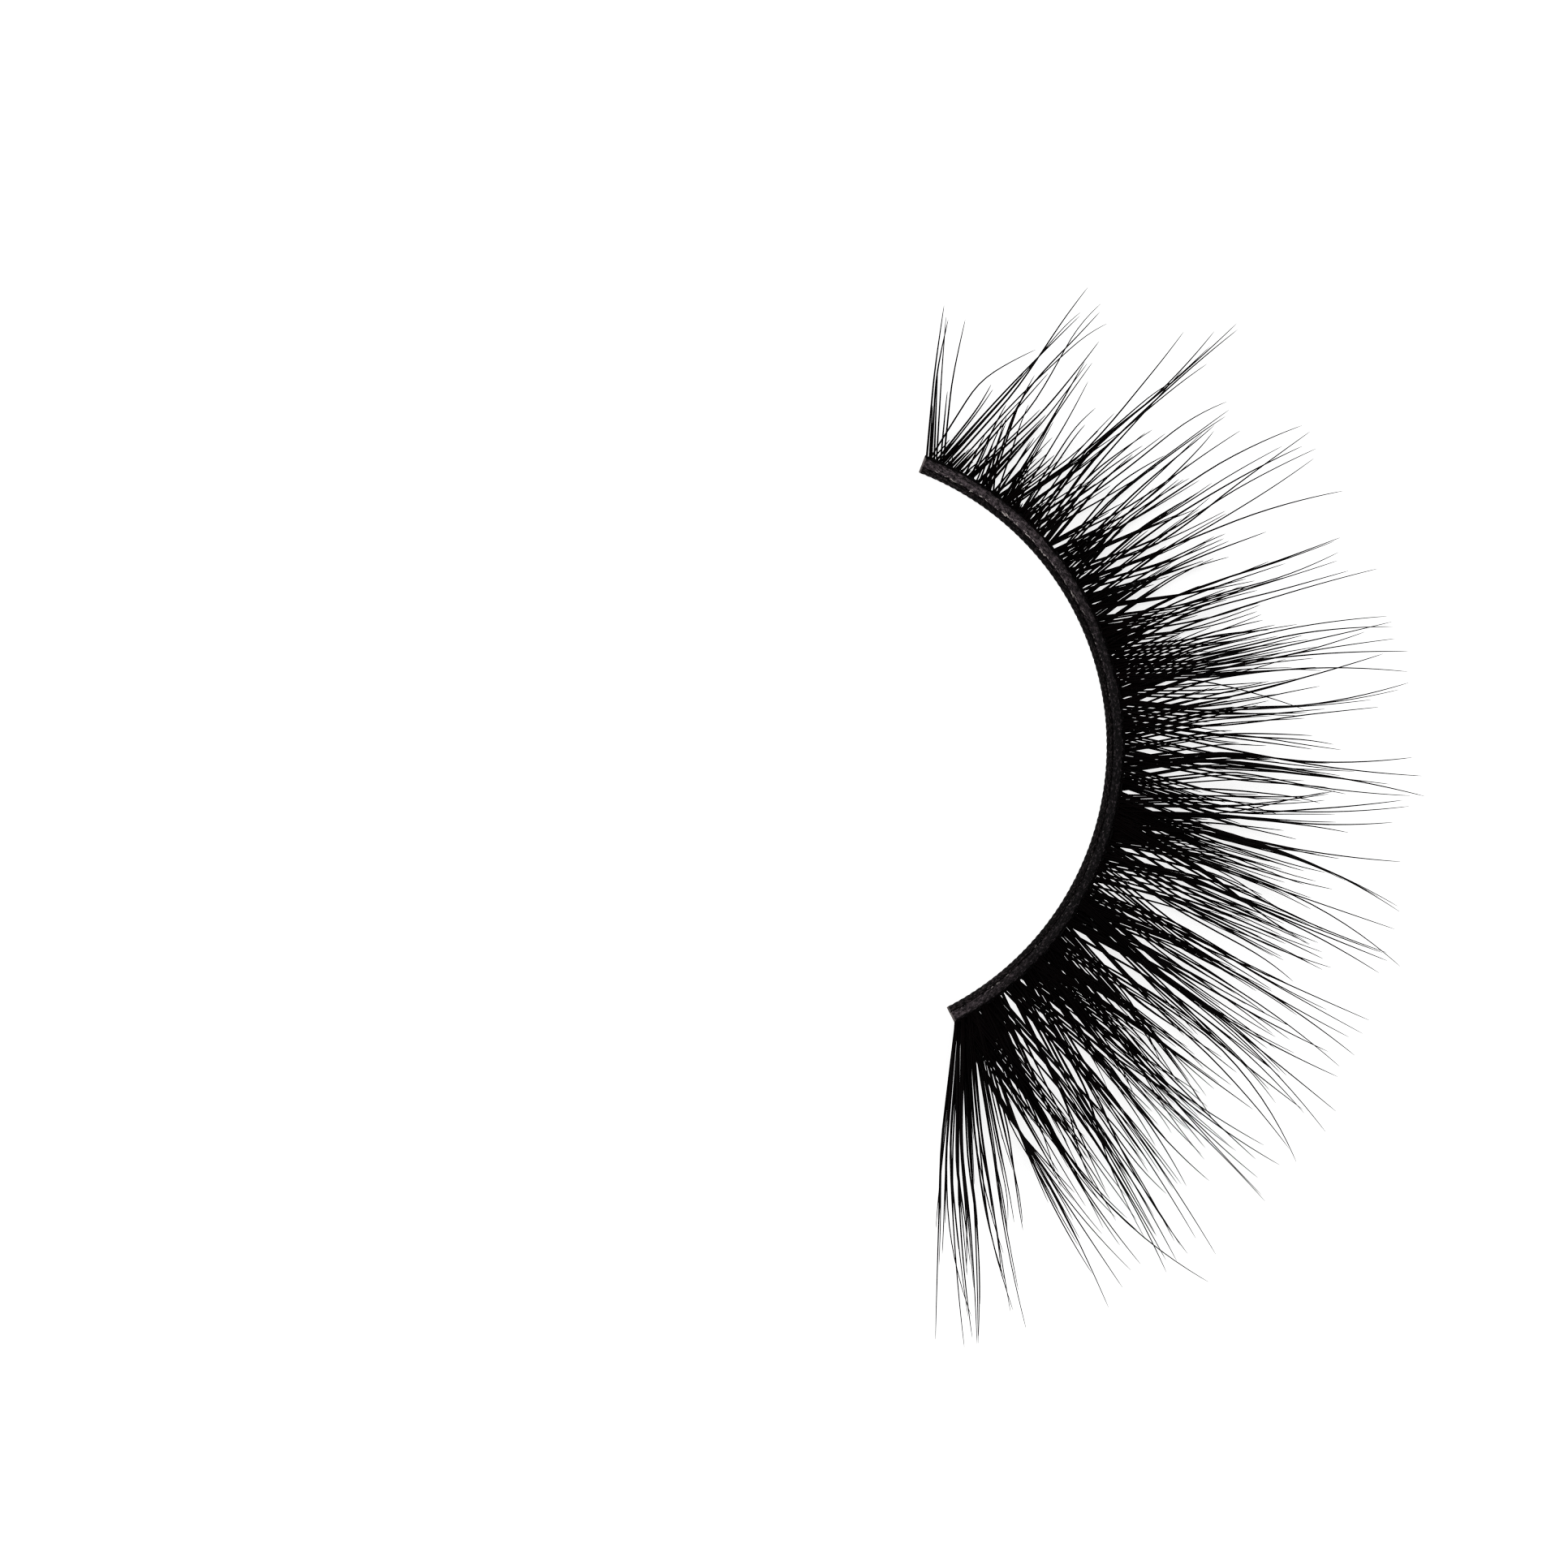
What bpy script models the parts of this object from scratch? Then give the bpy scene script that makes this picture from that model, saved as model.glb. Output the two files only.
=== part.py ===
"""A false eyelash strip, lying on its band as it does on a table.

The band is an arc that follows the eyelid: a round stem thread on the inside,
a flat root tape outside it, and three thin backings stacked one above the other
outside the tape. Each backing carries a layer of lash locks, flat and wide at
the root and drawn out to a point, which lean, cross the locks of the other
layers and curl upwards. Metres, +Z up. The origin is on the underside of the
tape, at the middle of the band. -Y is the way the lashes point, +X is the end
with the short lashes, for the inner corner of the eye, and -X the end with the
long ones.
"""

import math
from collections import namedtuple

import bmesh
import bpy
import numpy as np
from mathutils import Vector

MM = 0.001

# Band: its curve, its pieces from the inside outwards, and the gaps between them
INNER_RADIUS = 14.3 * MM
HALF_SPAN = math.radians(66.0)
THREAD_DIAMETER = 0.34 * MM
TAPE_WIDTH = 0.46 * MM
TAPE_THICKNESS = 0.30 * MM
BACKING_WIDTH = 0.30 * MM
BACKING_THICKNESS = 0.14 * MM
GLUE_GAP = 0.04 * MM
LAYER_GAP = 0.05 * MM

# Lashes: the longest reach beyond the inner edge, seen from above, the widest root,
# and the lock's section
LONGEST_REACH = 16.5 * MM
LOCK_WIDTH = 1.15 * MM
LOCK_BELLY = 0.26 * MM
TIP_WIDTH = 0.05 * MM
TIP_THICKNESS = 0.04 * MM

# How a lock thins out along its reach, and how its curl gathers towards the tip
WIDTH_POWER = 1.8
CURL_POWER = 3.0
WAIST_SHARE = 0.42
ROOT_FILL = 0.80
ROOT_INSET = 0.25

# Fineness of the meshes
ARC_STEPS = 44
THREAD_ROUNDNESS = 2
STATIONS = (0.0, 0.07, 0.16, 0.27, 0.40, 0.54, 0.69, 0.85, 1.0)
SECTION_SIDES = 6
WELD_DISTANCE = 0.0004 * MM

# A layer's rise is its slope at the root, its lift the height that the curl adds
# at the longest reach, as a share of that reach
Layer = namedtuple("Layer", "name rise lift")
LAYERS = (
    Layer("lash_layer_lower", 0.05, 0.26),
    Layer("lash_layer_middle", 0.13, 0.27),
    Layer("lash_layer_upper", 0.21, 0.28),
)

# Locks from the inner corner to the outer one. Root, waist and tip are places along
# the band as shares of its length, reach is a share of the longest reach, and width
# a share of the widest root. Places below 0 or above 1 sweep out past the band.
Lock = namedtuple("Lock", "layer root waist tip reach width")
LOCKS = (
    Lock("lash_layer_lower", 0.014, -0.009, -0.030, 0.46, 0.75),
    Lock("lash_layer_middle", 0.038, 0.062, 0.075, 0.67, 0.95),
    Lock("lash_layer_upper", 0.070, 0.080, 0.092, 0.65, 0.95),
    Lock("lash_layer_lower", 0.098, 0.106, 0.108, 0.57, 0.75),
    Lock("lash_layer_middle", 0.126, 0.133, 0.143, 0.44, 0.85),
    Lock("lash_layer_lower", 0.145, 0.162, 0.160, 0.73, 0.80),
    Lock("lash_layer_upper", 0.164, 0.177, 0.182, 0.85, 0.95),
    Lock("lash_layer_middle", 0.190, 0.197, 0.213, 0.66, 0.90),
    Lock("lash_layer_lower", 0.218, 0.226, 0.229, 0.66, 0.80),
    Lock("lash_layer_upper", 0.245, 0.243, 0.244, 0.64, 0.95),
    Lock("lash_layer_middle", 0.256, 0.258, 0.266, 0.82, 0.95),
    Lock("lash_layer_lower", 0.265, 0.274, 0.281, 0.78, 0.80),
    Lock("lash_layer_upper", 0.284, 0.287, 0.284, 0.82, 0.85),
    Lock("lash_layer_middle", 0.297, 0.303, 0.306, 0.80, 0.85),
    Lock("lash_layer_lower", 0.317, 0.321, 0.327, 0.74, 0.85),
    Lock("lash_layer_upper", 0.341, 0.356, 0.360, 0.76, 0.95),
    Lock("lash_layer_middle", 0.364, 0.372, 0.375, 0.75, 0.95),
    Lock("lash_layer_lower", 0.384, 0.386, 0.390, 0.83, 0.85),
    Lock("lash_layer_upper", 0.400, 0.412, 0.426, 0.84, 1.00),
    Lock("lash_layer_middle", 0.419, 0.429, 0.434, 0.85, 0.95),
    Lock("lash_layer_lower", 0.434, 0.444, 0.451, 0.86, 0.95),
    Lock("lash_layer_upper", 0.447, 0.453, 0.463, 0.85, 0.85),
    Lock("lash_layer_middle", 0.473, 0.468, 0.457, 0.79, 0.90),
    Lock("lash_layer_lower", 0.482, 0.488, 0.482, 0.85, 0.95),
    Lock("lash_layer_middle", 0.503, 0.512, 0.524, 0.64, 0.95),
    Lock("lash_layer_upper", 0.525, 0.539, 0.543, 0.89, 1.00),
    Lock("lash_layer_lower", 0.549, 0.555, 0.558, 0.84, 0.85),
    Lock("lash_layer_middle", 0.574, 0.572, 0.566, 0.64, 0.85),
    Lock("lash_layer_upper", 0.598, 0.586, 0.571, 0.85, 0.90),
    Lock("lash_layer_lower", 0.606, 0.617, 0.638, 0.89, 1.00),
    Lock("lash_layer_middle", 0.628, 0.635, 0.642, 0.67, 0.90),
    Lock("lash_layer_lower", 0.640, 0.650, 0.665, 0.92, 0.90),
    Lock("lash_layer_upper", 0.657, 0.670, 0.677, 0.89, 1.00),
    Lock("lash_layer_middle", 0.682, 0.686, 0.690, 0.72, 0.95),
    Lock("lash_layer_lower", 0.697, 0.700, 0.700, 0.73, 0.90),
    Lock("lash_layer_upper", 0.724, 0.736, 0.738, 0.91, 1.00),
    Lock("lash_layer_middle", 0.742, 0.748, 0.755, 0.91, 0.90),
    Lock("lash_layer_lower", 0.757, 0.763, 0.765, 0.73, 0.90),
    Lock("lash_layer_upper", 0.767, 0.778, 0.792, 0.96, 1.00),
    Lock("lash_layer_middle", 0.782, 0.798, 0.823, 0.95, 0.95),
    Lock("lash_layer_lower", 0.802, 0.811, 0.820, 0.72, 0.85),
    Lock("lash_layer_upper", 0.824, 0.834, 0.845, 0.92, 0.95),
    Lock("lash_layer_middle", 0.845, 0.853, 0.862, 0.96, 1.00),
    Lock("lash_layer_lower", 0.865, 0.875, 0.883, 0.82, 0.95),
    Lock("lash_layer_upper", 0.884, 0.896, 0.909, 0.98, 1.00),
    Lock("lash_layer_middle", 0.903, 0.916, 0.932, 0.94, 1.00),
    Lock("lash_layer_lower", 0.922, 0.932, 0.946, 0.94, 0.95),
    Lock("lash_layer_upper", 0.942, 0.952, 0.956, 0.75, 0.90),
    Lock("lash_layer_middle", 0.960, 0.966, 0.962, 0.89, 1.00),
    Lock("lash_layer_lower", 0.974, 0.984, 0.980, 0.93, 0.95),
    Lock("lash_layer_upper", 0.973, 1.020, 1.050, 0.91, 1.00),
    Lock("lash_layer_middle", 0.982, 1.052, 1.087, 0.91, 1.00),
    Lock("lash_layer_lower", 0.984, 1.071, 1.114, 0.89, 0.90),
)

# Places worked out from the sizes above
THREAD_RADIUS = THREAD_DIAMETER / 2
TAPE_INNER = INNER_RADIUS + THREAD_DIAMETER + GLUE_GAP
TAPE_OUTER = TAPE_INNER + TAPE_WIDTH
BACKING_INNER = TAPE_OUTER + GLUE_GAP
BACKING_OUTER = BACKING_INNER + BACKING_WIDTH
ROOT_RADIUS = BACKING_INNER + ROOT_INSET * BACKING_WIDTH
LAYER_PITCH = BACKING_THICKNESS + LAYER_GAP
CURVE_CENTRE_Y = (TAPE_INNER + TAPE_OUTER) / 2


def band_point(radius, place, height=0.0):
    """The point at a radius and at a place along the band, 0 at the inner corner and 1 at the outer."""
    angle = HALF_SPAN * (1.0 - 2.0 * place)
    return Vector((radius * math.sin(angle), CURVE_CENTRE_Y - radius * math.cos(angle), height))


def arc(radius, height=0.0):
    """Points along the whole band at one radius."""
    return [band_point(radius, step / ARC_STEPS, height) for step in range(ARC_STEPS + 1)]


def collection(name, shown=True):
    """A collection in the scene; one that holds only shapes to be fused stays out of the render."""
    made = bpy.data.collections.new(name)
    made.hide_render = not shown
    bpy.context.scene.collection.children.link(made)
    return made


def finish(name, colour, roughness):
    """A plain material with the piece's own colour."""
    made = bpy.data.materials.new(name)
    made.use_nodes = True
    shader = made.node_tree.nodes["Principled BSDF"]
    shader.inputs["Base Color"].default_value = (*colour, 1.0)
    shader.inputs["Roughness"].default_value = roughness
    shader.inputs["Metallic"].default_value = 0.0
    return made


def poly_curve(name, points, closed, dimensions):
    """A curve object with one straight-sided spline through the points."""
    curve = bpy.data.curves.new(name, "CURVE")
    curve.dimensions = dimensions
    spline = curve.splines.new("POLY")
    spline.points.add(len(points) - 1)
    for target, point in zip(spline.points, points):
        target.co = (*point, 1.0)
    spline.use_cyclic_u = closed
    return bpy.data.objects.new(name, curve)


def flat_band(name, inner, outer, thickness):
    """A flat strip bent in its own plane, from its outline and half its thickness each way."""
    outline = arc(outer) + arc(inner)[::-1]
    strip = poly_curve(name, outline, True, "2D")
    strip.data.fill_mode = "BOTH"
    strip.data.extrude = thickness / 2
    return strip


def as_mesh(curve_object, place_in):
    """The curve as a mesh object of the same name, its caps welded to its sides."""
    place_in.objects.link(curve_object)
    bpy.context.view_layer.update()
    graph = bpy.context.evaluated_depsgraph_get()
    mesh = bpy.data.meshes.new_from_object(curve_object.evaluated_get(graph))
    shape = bmesh.new()
    shape.from_mesh(mesh)
    bmesh.ops.remove_doubles(shape, verts=shape.verts, dist=WELD_DISTANCE)
    bmesh.ops.recalc_face_normals(shape, faces=shape.faces)
    shape.to_mesh(mesh)
    shape.free()
    name = curve_object.name
    made = bpy.data.objects.new(name, mesh)
    made.matrix_world = curve_object.matrix_world
    bpy.data.objects.remove(curve_object)
    made.name = name
    place_in.objects.link(made)
    return made


def three_point_path(first, waist, last, share):
    """The smooth curve through a value at 0, one at the waist's share and one at 1."""
    at_first = (1 - share) * (1 - share / WAIST_SHARE)
    at_waist = share * (1 - share) / (WAIST_SHARE * (1 - WAIST_SHARE))
    at_last = share * (share - WAIST_SHARE) / (1 - WAIST_SHARE)
    return first * at_first + waist * at_waist + last * at_last


def lock_sections(lock, layer, root_height):
    """A lock's rings from root to tip, each a flat lens on the cylinder at its own radius."""
    share = np.array(STATIONS)
    reach = INNER_RADIUS + lock.reach * LONGEST_REACH - ROOT_RADIUS
    radius = ROOT_RADIUS + share * reach
    place = three_point_path(lock.root, lock.waist, lock.tip, share)
    middle = HALF_SPAN * (1.0 - 2.0 * place)
    rise = layer.rise * share * reach
    curl = layer.lift * LONGEST_REACH * (share * lock.reach) ** CURL_POWER
    height = root_height + rise + curl
    root_width = lock.width * LOCK_WIDTH
    width = TIP_WIDTH + (root_width - TIP_WIDTH) * (1 - share) ** WIDTH_POWER
    root_thickness = ROOT_FILL * BACKING_THICKNESS
    belly = LOCK_BELLY * np.sin(math.pi * share) * (1 - share)
    thickness = TIP_THICKNESS + (root_thickness - TIP_THICKNESS) * (1 - share) + belly
    round_the_lens = 2 * math.pi * np.arange(SECTION_SIDES) / SECTION_SIDES
    across = np.outer(width / radius / 2, np.cos(round_the_lens))
    up = np.outer(thickness / 2, np.sin(round_the_lens))
    angle = middle[:, None] + across
    x = radius[:, None] * np.sin(angle)
    y = CURVE_CENTRE_Y - radius[:, None] * np.cos(angle)
    return np.stack((x, y, height[:, None] + up), axis=-1)


def lofted(name, rings):
    """A closed solid through unlike rings of as many points each, with flat ends."""
    shape = bmesh.new()
    levels = [[shape.verts.new(point) for point in ring] for ring in rings]
    for low, high in zip(levels, levels[1:]):
        for here, after in zip(range(SECTION_SIDES), (*range(1, SECTION_SIDES), 0)):
            shape.faces.new((low[here], low[after], high[after], high[here]))
    shape.faces.new(levels[0])
    shape.faces.new(levels[-1])
    bmesh.ops.recalc_face_normals(shape, faces=shape.faces)
    mesh = bpy.data.meshes.new(name)
    shape.to_mesh(mesh)
    shape.free()
    return bpy.data.objects.new(name, mesh)


def stem_thread():
    """The round thread along the inner edge, which the lashes were knotted on."""
    thread = poly_curve("stem_thread", arc(INNER_RADIUS + THREAD_RADIUS), False, "3D")
    thread.data.bevel_depth = THREAD_RADIUS
    thread.data.bevel_resolution = THREAD_ROUNDNESS
    thread.data.use_fill_caps = True
    thread.location.z = THREAD_RADIUS
    thread.data.materials.append(finish("black_cotton", (0.020, 0.020, 0.023), 0.75))
    return thread


def root_tape():
    """The flat glued strip over the roots, whose underside takes the lash glue."""
    tape = flat_band("root_tape", TAPE_INNER, TAPE_OUTER, TAPE_THICKNESS)
    tape.location.z = TAPE_THICKNESS / 2
    tape.data.materials.append(finish("dried_glue", (0.055, 0.050, 0.056), 0.45))
    return tape


def lash_layer(layer, level, place_in, helpers):
    """One backing with its locks fused to it."""
    root_height = BACKING_THICKNESS / 2 + level * LAYER_PITCH
    strip = flat_band(layer.name, BACKING_INNER, BACKING_OUTER, BACKING_THICKNESS)
    strip.location.z = root_height
    backing = as_mesh(strip, place_in)
    backing.data.materials.append(finish(layer.name + "_fibre", (0.012, 0.012, 0.013), 0.38))
    locks = bpy.data.collections.new(layer.name + "_locks")
    locks.hide_render = True
    helpers.children.link(locks)
    for number, lock in enumerate(LOCKS):
        if lock.layer != layer.name:
            continue
        solid = lofted(f"lock_{number:02d}", lock_sections(lock, layer, root_height))
        solid.hide_render = True
        solid.display_type = "WIRE"
        locks.objects.link(solid)
    union = backing.modifiers.new("fused_locks", "BOOLEAN")
    union.operation = "UNION"
    union.solver = "EXACT"
    union.operand_type = "COLLECTION"
    union.collection = locks
    return backing


def main():
    for old in list(bpy.data.objects):
        bpy.data.objects.remove(old)
    strip = collection("false_eyelash_strip")
    helpers = collection("lock_shapes", shown=False)
    strip.objects.link(stem_thread())
    strip.objects.link(root_tape())
    for level, layer in enumerate(LAYERS):
        lash_layer(layer, level, strip, helpers)


main()
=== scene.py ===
# %% [markdown]
# # A false eyelash strip, hair by hair
# The part already has its solids: a stem thread, a root tape and three stacked lash
# layers. This lesson dresses them. The band gets a twisted thread, a film of dried glue
# and the crowded roots behind it. Each lash layer becomes some hundreds of separate
# hairs, worked out from charts of tufts, feet and partings, as a groom works from guide
# hairs.

import math
from collections import namedtuple

import bpy
import numpy as np
from mathutils import Matrix, Vector


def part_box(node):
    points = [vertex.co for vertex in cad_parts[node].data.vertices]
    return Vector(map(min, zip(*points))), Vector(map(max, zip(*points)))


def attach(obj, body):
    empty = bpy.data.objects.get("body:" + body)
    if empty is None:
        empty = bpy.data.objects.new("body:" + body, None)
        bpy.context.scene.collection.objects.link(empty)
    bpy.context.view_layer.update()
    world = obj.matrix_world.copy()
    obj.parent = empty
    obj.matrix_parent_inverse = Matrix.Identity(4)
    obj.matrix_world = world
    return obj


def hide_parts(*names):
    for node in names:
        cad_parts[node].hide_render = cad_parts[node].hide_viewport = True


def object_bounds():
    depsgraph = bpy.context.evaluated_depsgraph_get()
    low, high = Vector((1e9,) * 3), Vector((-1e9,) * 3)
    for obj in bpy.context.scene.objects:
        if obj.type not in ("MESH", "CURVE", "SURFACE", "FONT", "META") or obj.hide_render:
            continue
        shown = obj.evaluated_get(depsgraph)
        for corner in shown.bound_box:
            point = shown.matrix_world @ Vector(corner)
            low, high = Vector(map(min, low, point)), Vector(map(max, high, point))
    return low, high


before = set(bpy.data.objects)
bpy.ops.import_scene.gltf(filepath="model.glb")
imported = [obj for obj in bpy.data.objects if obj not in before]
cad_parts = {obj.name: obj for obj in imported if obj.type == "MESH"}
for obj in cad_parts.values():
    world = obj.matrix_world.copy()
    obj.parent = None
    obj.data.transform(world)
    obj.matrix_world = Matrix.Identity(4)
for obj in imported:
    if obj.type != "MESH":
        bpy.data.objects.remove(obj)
CAD_LOW, CAD_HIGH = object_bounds()
print("CAD box in mm:", [round(1000 * v, 2) for v in (*CAD_LOW, *CAD_HIGH)])

# %% [markdown]
# ## The band as a measuring line
# Everything on this object is placed by two numbers: how far along the band it starts,
# and how far out from the inner edge it lies. So the lesson first turns the packed
# solids into a curve: the tape is an arc, and its corners give the arc's radius and
# centre. After that, a place is a per cent of the band's length, 0 at the inner corner
# of the eye and 100 at the outer one, and a distance is a per cent of the full reach.

# %% The band's arc, from the frame
MM = 0.001
HALF_SPAN = math.radians(66.0)
INNER_RADIUS = 14.3 * MM
FULL_REACH = 16.85 * MM

tape_low, tape_high = (np.array(corner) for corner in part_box("root_tape"))
thread_low, thread_high = (np.array(corner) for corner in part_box("stem_thread"))
TAPE_OUTER = tape_high[0] / math.sin(HALF_SPAN)
CENTRE_Y = TAPE_OUTER + tape_low[1]
THREAD_RADIUS = (thread_high[2] - thread_low[2]) / 2
THREAD_MIDDLE = INNER_RADIUS + THREAD_RADIUS
TAPE_INNER = TAPE_OUTER + 2 * tape_low[1]
print("tape from", round(TAPE_INNER / MM, 2), "to", round(TAPE_OUTER / MM, 2), "mm from the arc's centre")


def on_arc(place, radius):
    """Where a place along the band, in per cent, meets a circle of that radius.

    The angle runs evenly from +66 to -66 degrees. x is radius times its sine, and y is the
    arc's centre less radius times its cosine.
    """
    angle = HALF_SPAN * (1.0 - place / 50.0)
    return radius * np.sin(angle), CENTRE_Y - radius * np.cos(angle)


# %% [markdown]
# ## Camera first
# The photograph looks straight down. Its strip is turned three degrees from the chord of
# the band, so the camera is rolled by as much. A long lens from 450 mm away keeps the
# tips, which stand 8 mm higher than the band, almost where a flat view has them.

# %% Camera
PHOTO_SIDE = 1932
PHOTO_CENTRE_OF_ARC = (1002.4, 919.3)
PHOTO_PIXELS_PER_M = 360.7 / INNER_RADIUS
PHOTO_TURN = math.radians(3.0)
CAMERA_HEIGHT = 0.45

image_right = Vector((-math.sin(PHOTO_TURN), -math.cos(PHOTO_TURN), 0.0))
image_up = Vector((math.cos(PHOTO_TURN), -math.sin(PHOTO_TURN), 0.0))
view_right = (PHOTO_SIDE / 2 - PHOTO_CENTRE_OF_ARC[0]) / PHOTO_PIXELS_PER_M
view_up = (PHOTO_CENTRE_OF_ARC[1] - PHOTO_SIDE / 2) / PHOTO_PIXELS_PER_M
VIEW_CENTRE = Vector((0.0, CENTRE_Y, 0.0)) + view_right * image_right + view_up * image_up

camera_data = bpy.data.cameras.new("camera")
camera_data.sensor_width = 36.0
camera_data.lens = camera_data.sensor_width * CAMERA_HEIGHT * PHOTO_PIXELS_PER_M / PHOTO_SIDE
camera_data.clip_start = 0.01
camera_data.clip_end = 10.0
camera = bpy.data.objects.new("camera", camera_data)
turned = Matrix((image_right, image_up, Vector((0, 0, 1)))).transposed()
camera.matrix_world = Matrix.Translation(VIEW_CENTRE + Vector((0, 0, CAMERA_HEIGHT))) @ turned.to_4x4()
bpy.context.scene.collection.objects.link(camera)
bpy.context.scene.camera = camera
print("lens:", round(camera_data.lens, 1), "mm")

# %% [markdown]
# ## Floor and light
# The photograph is shot on a light table: the ground is pure white and there is hardly
# a shadow. A white floor with a glow of its own does the same. Two wide soft lamps and a
# white room light the band. A hair is about one pixel wide, so the pixel filter is set
# narrower than Blender's 1.5: wide enough against broken lines, and still crisp.

# %% Floor, lamps and room
FLOOR_SIDE = 1.2
FLOOR_DROP = 0.02 * MM
FLOOR_GREY = 0.5
FLOOR_GLOW = 0.75
ROOM_LIGHT = 0.4
PIXEL_FILTER = 1.25


def stage_floor():
    """A flat square just under the strip, white and faintly glowing."""
    corners = [(FLOOR_SIDE / 2 * x, FLOOR_SIDE / 2 * y, 0) for x, y in ((-1, -1), (1, -1), (1, 1), (-1, 1))]
    mesh = bpy.data.meshes.new("floor")
    mesh.from_pydata(corners, [], [(0, 1, 2, 3)])
    floor = bpy.data.objects.new("floor", mesh)
    floor.location.z = -FLOOR_DROP
    material = bpy.data.materials.new("light_table")
    material.use_nodes = True
    shader = material.node_tree.nodes["Principled BSDF"]
    shader.inputs["Base Color"].default_value = (FLOOR_GREY, FLOOR_GREY, FLOOR_GREY, 1)
    shader.inputs["Roughness"].default_value = 0.6
    shader.inputs["Emission Color"].default_value = (1, 1, 1, 1)
    shader.inputs["Emission Strength"].default_value = FLOOR_GLOW
    mesh.materials.append(material)
    bpy.context.scene.collection.objects.link(floor)


def soft_lamp(name, position, side, power):
    """A square area lamp aimed at the middle of the strip."""
    data = bpy.data.lights.new(name, "AREA")
    data.shape = "SQUARE"
    data.size = side
    data.energy = power
    lamp = bpy.data.objects.new(name, data)
    lamp.location = position
    lamp.rotation_euler = (Vector((0, 0, 0)) - Vector(position)).to_track_quat("-Z", "Y").to_euler()
    bpy.context.scene.collection.objects.link(lamp)


stage_floor()
soft_lamp("key_lamp", position=(0.25, 0.15, 0.55), side=0.35, power=1.0)
soft_lamp("fill_lamp", position=(-0.35, -0.25, 0.40), side=0.45, power=0.5)
world = bpy.data.worlds.new("white_room")
world.use_nodes = True
world.node_tree.nodes["Background"].inputs["Color"].default_value = (1, 1, 1, 1)
world.node_tree.nodes["Background"].inputs["Strength"].default_value = ROOM_LIGHT
bpy.context.scene.world = world
bpy.context.scene.view_settings.view_transform = "Standard"
bpy.context.scene.cycles.filter_width = PIXEL_FILTER

# %% [markdown]
# ## Two helpers for surfaces
# The band's pieces are all one closed profile carried along the arc, so one function
# makes them from a formula for the profile. It works on whole arrays: a grid of places
# along the band by angles round the profile. It also stores where each point lies along
# and across the band, for the materials.

# %% A profile carried along the band
CAP_SHRINK = 0.02


def piece_from(name, points, quads, material, attributes=()):
    """A mesh object at the origin from an array of points and one of four-cornered faces, shaded smooth."""
    mesh = bpy.data.meshes.new(name)
    mesh.vertices.add(len(points))
    mesh.vertices.foreach_set("co", np.ascontiguousarray(points, np.float32).ravel())
    mesh.loops.add(quads.size)
    mesh.loops.foreach_set("vertex_index", np.ascontiguousarray(quads, np.int32).ravel())
    mesh.polygons.add(len(quads))
    mesh.polygons.foreach_set("loop_start", np.arange(0, quads.size, 4, dtype=np.int32))
    for attribute, values in attributes:
        made = mesh.attributes.new(attribute, "FLOAT", "POINT")
        made.data.foreach_set("value", np.ascontiguousarray(values, np.float32).ravel())
    mesh.update(calc_edges=True)
    mesh.validate()
    mesh.shade_smooth()
    mesh.materials.append(material)
    piece = bpy.data.objects.new(name, mesh)
    bpy.context.scene.collection.objects.link(piece)
    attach(piece, "root")
    print(name, len(points), "points", 2 * len(quads), "triangles")
    return piece


def band_sweep(name, profile, steps, sides, material):
    """Carries a closed profile along the arc, from place 0 to 100, and closes both ends.

    profile(along, round) gives the distance from the arc's centre and the height, for
    arrays of places from 0 to 1 and of angles round the profile. Each end is closed by
    rings that shrink to the profile's middle.
    """
    along = np.linspace(0.0, 1.0, steps)[:, None]
    angles = np.linspace(0.0, 2 * math.pi, sides, endpoint=False)[None, :]
    radius, height = profile(along, angles)
    radius = radius + np.zeros((steps, sides))
    height = height + np.zeros((steps, sides))
    shrink = np.ones(steps + 2)
    shrink[[0, -1]] = CAP_SHRINK
    rows = np.concatenate(([0], np.arange(steps), [steps - 1]))
    across = ((radius - radius.min()) / np.ptp(radius))[rows]
    grids = []
    for values in (radius, height):
        middle = values.mean(axis=1, keepdims=True)
        ends = shrink[:, None] * (values - middle)[rows]
        grids.append(middle[rows] + ends)
    radius, height = grids
    x, y = on_arc(100.0 * along[rows], radius)
    points = np.stack((x, y, height), axis=-1).reshape(-1, 3)
    here = np.arange(sides)
    after = (here + 1) % sides
    row = (np.arange(steps + 1) * sides)[:, None]
    corners = (row + here, row + after, row + sides + after, row + sides + here)
    quads = np.stack(corners, axis=-1).reshape(-1, 4)
    last = (steps + 1) * sides
    fan = np.arange(1, sides - 2, 2)
    zero = np.zeros_like(fan)
    caps = np.stack((zero, fan + 2, fan + 1, fan), axis=-1)
    quads = np.concatenate((quads, caps, last + caps[:, ::-1]))
    place = np.repeat(along[rows, 0], sides)
    return piece_from(name, points, quads, material, [("place", place), ("across", across)])


# %% [markdown]
# ## Materials
# Everything here is nearly black, and what tells the finishes apart is how they catch the
# light. Hairs and packed roots have a mottle: a coarse and a fine noise, mixed to one mask
# that steers colour, roughness and bump. It could be painted, but noise needs no picture
# and holds at any distance. A few short helpers keep the node trees readable: each
# material is a list of its nodes, and then a list of what is linked to what.

# %% Helpers for nodes


def set_inputs(node, values):
    """Sets a node's own values, by the input's name or number."""
    for socket, value in values.items():
        node.inputs[socket].default_value = value


def add(nodes, kind, values=None, operation=None):
    """A new node with these values, and this operation where its kind has one."""
    node = nodes.new(kind)
    if operation:
        node.operation = operation
    set_inputs(node, values or {})
    return node


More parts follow.
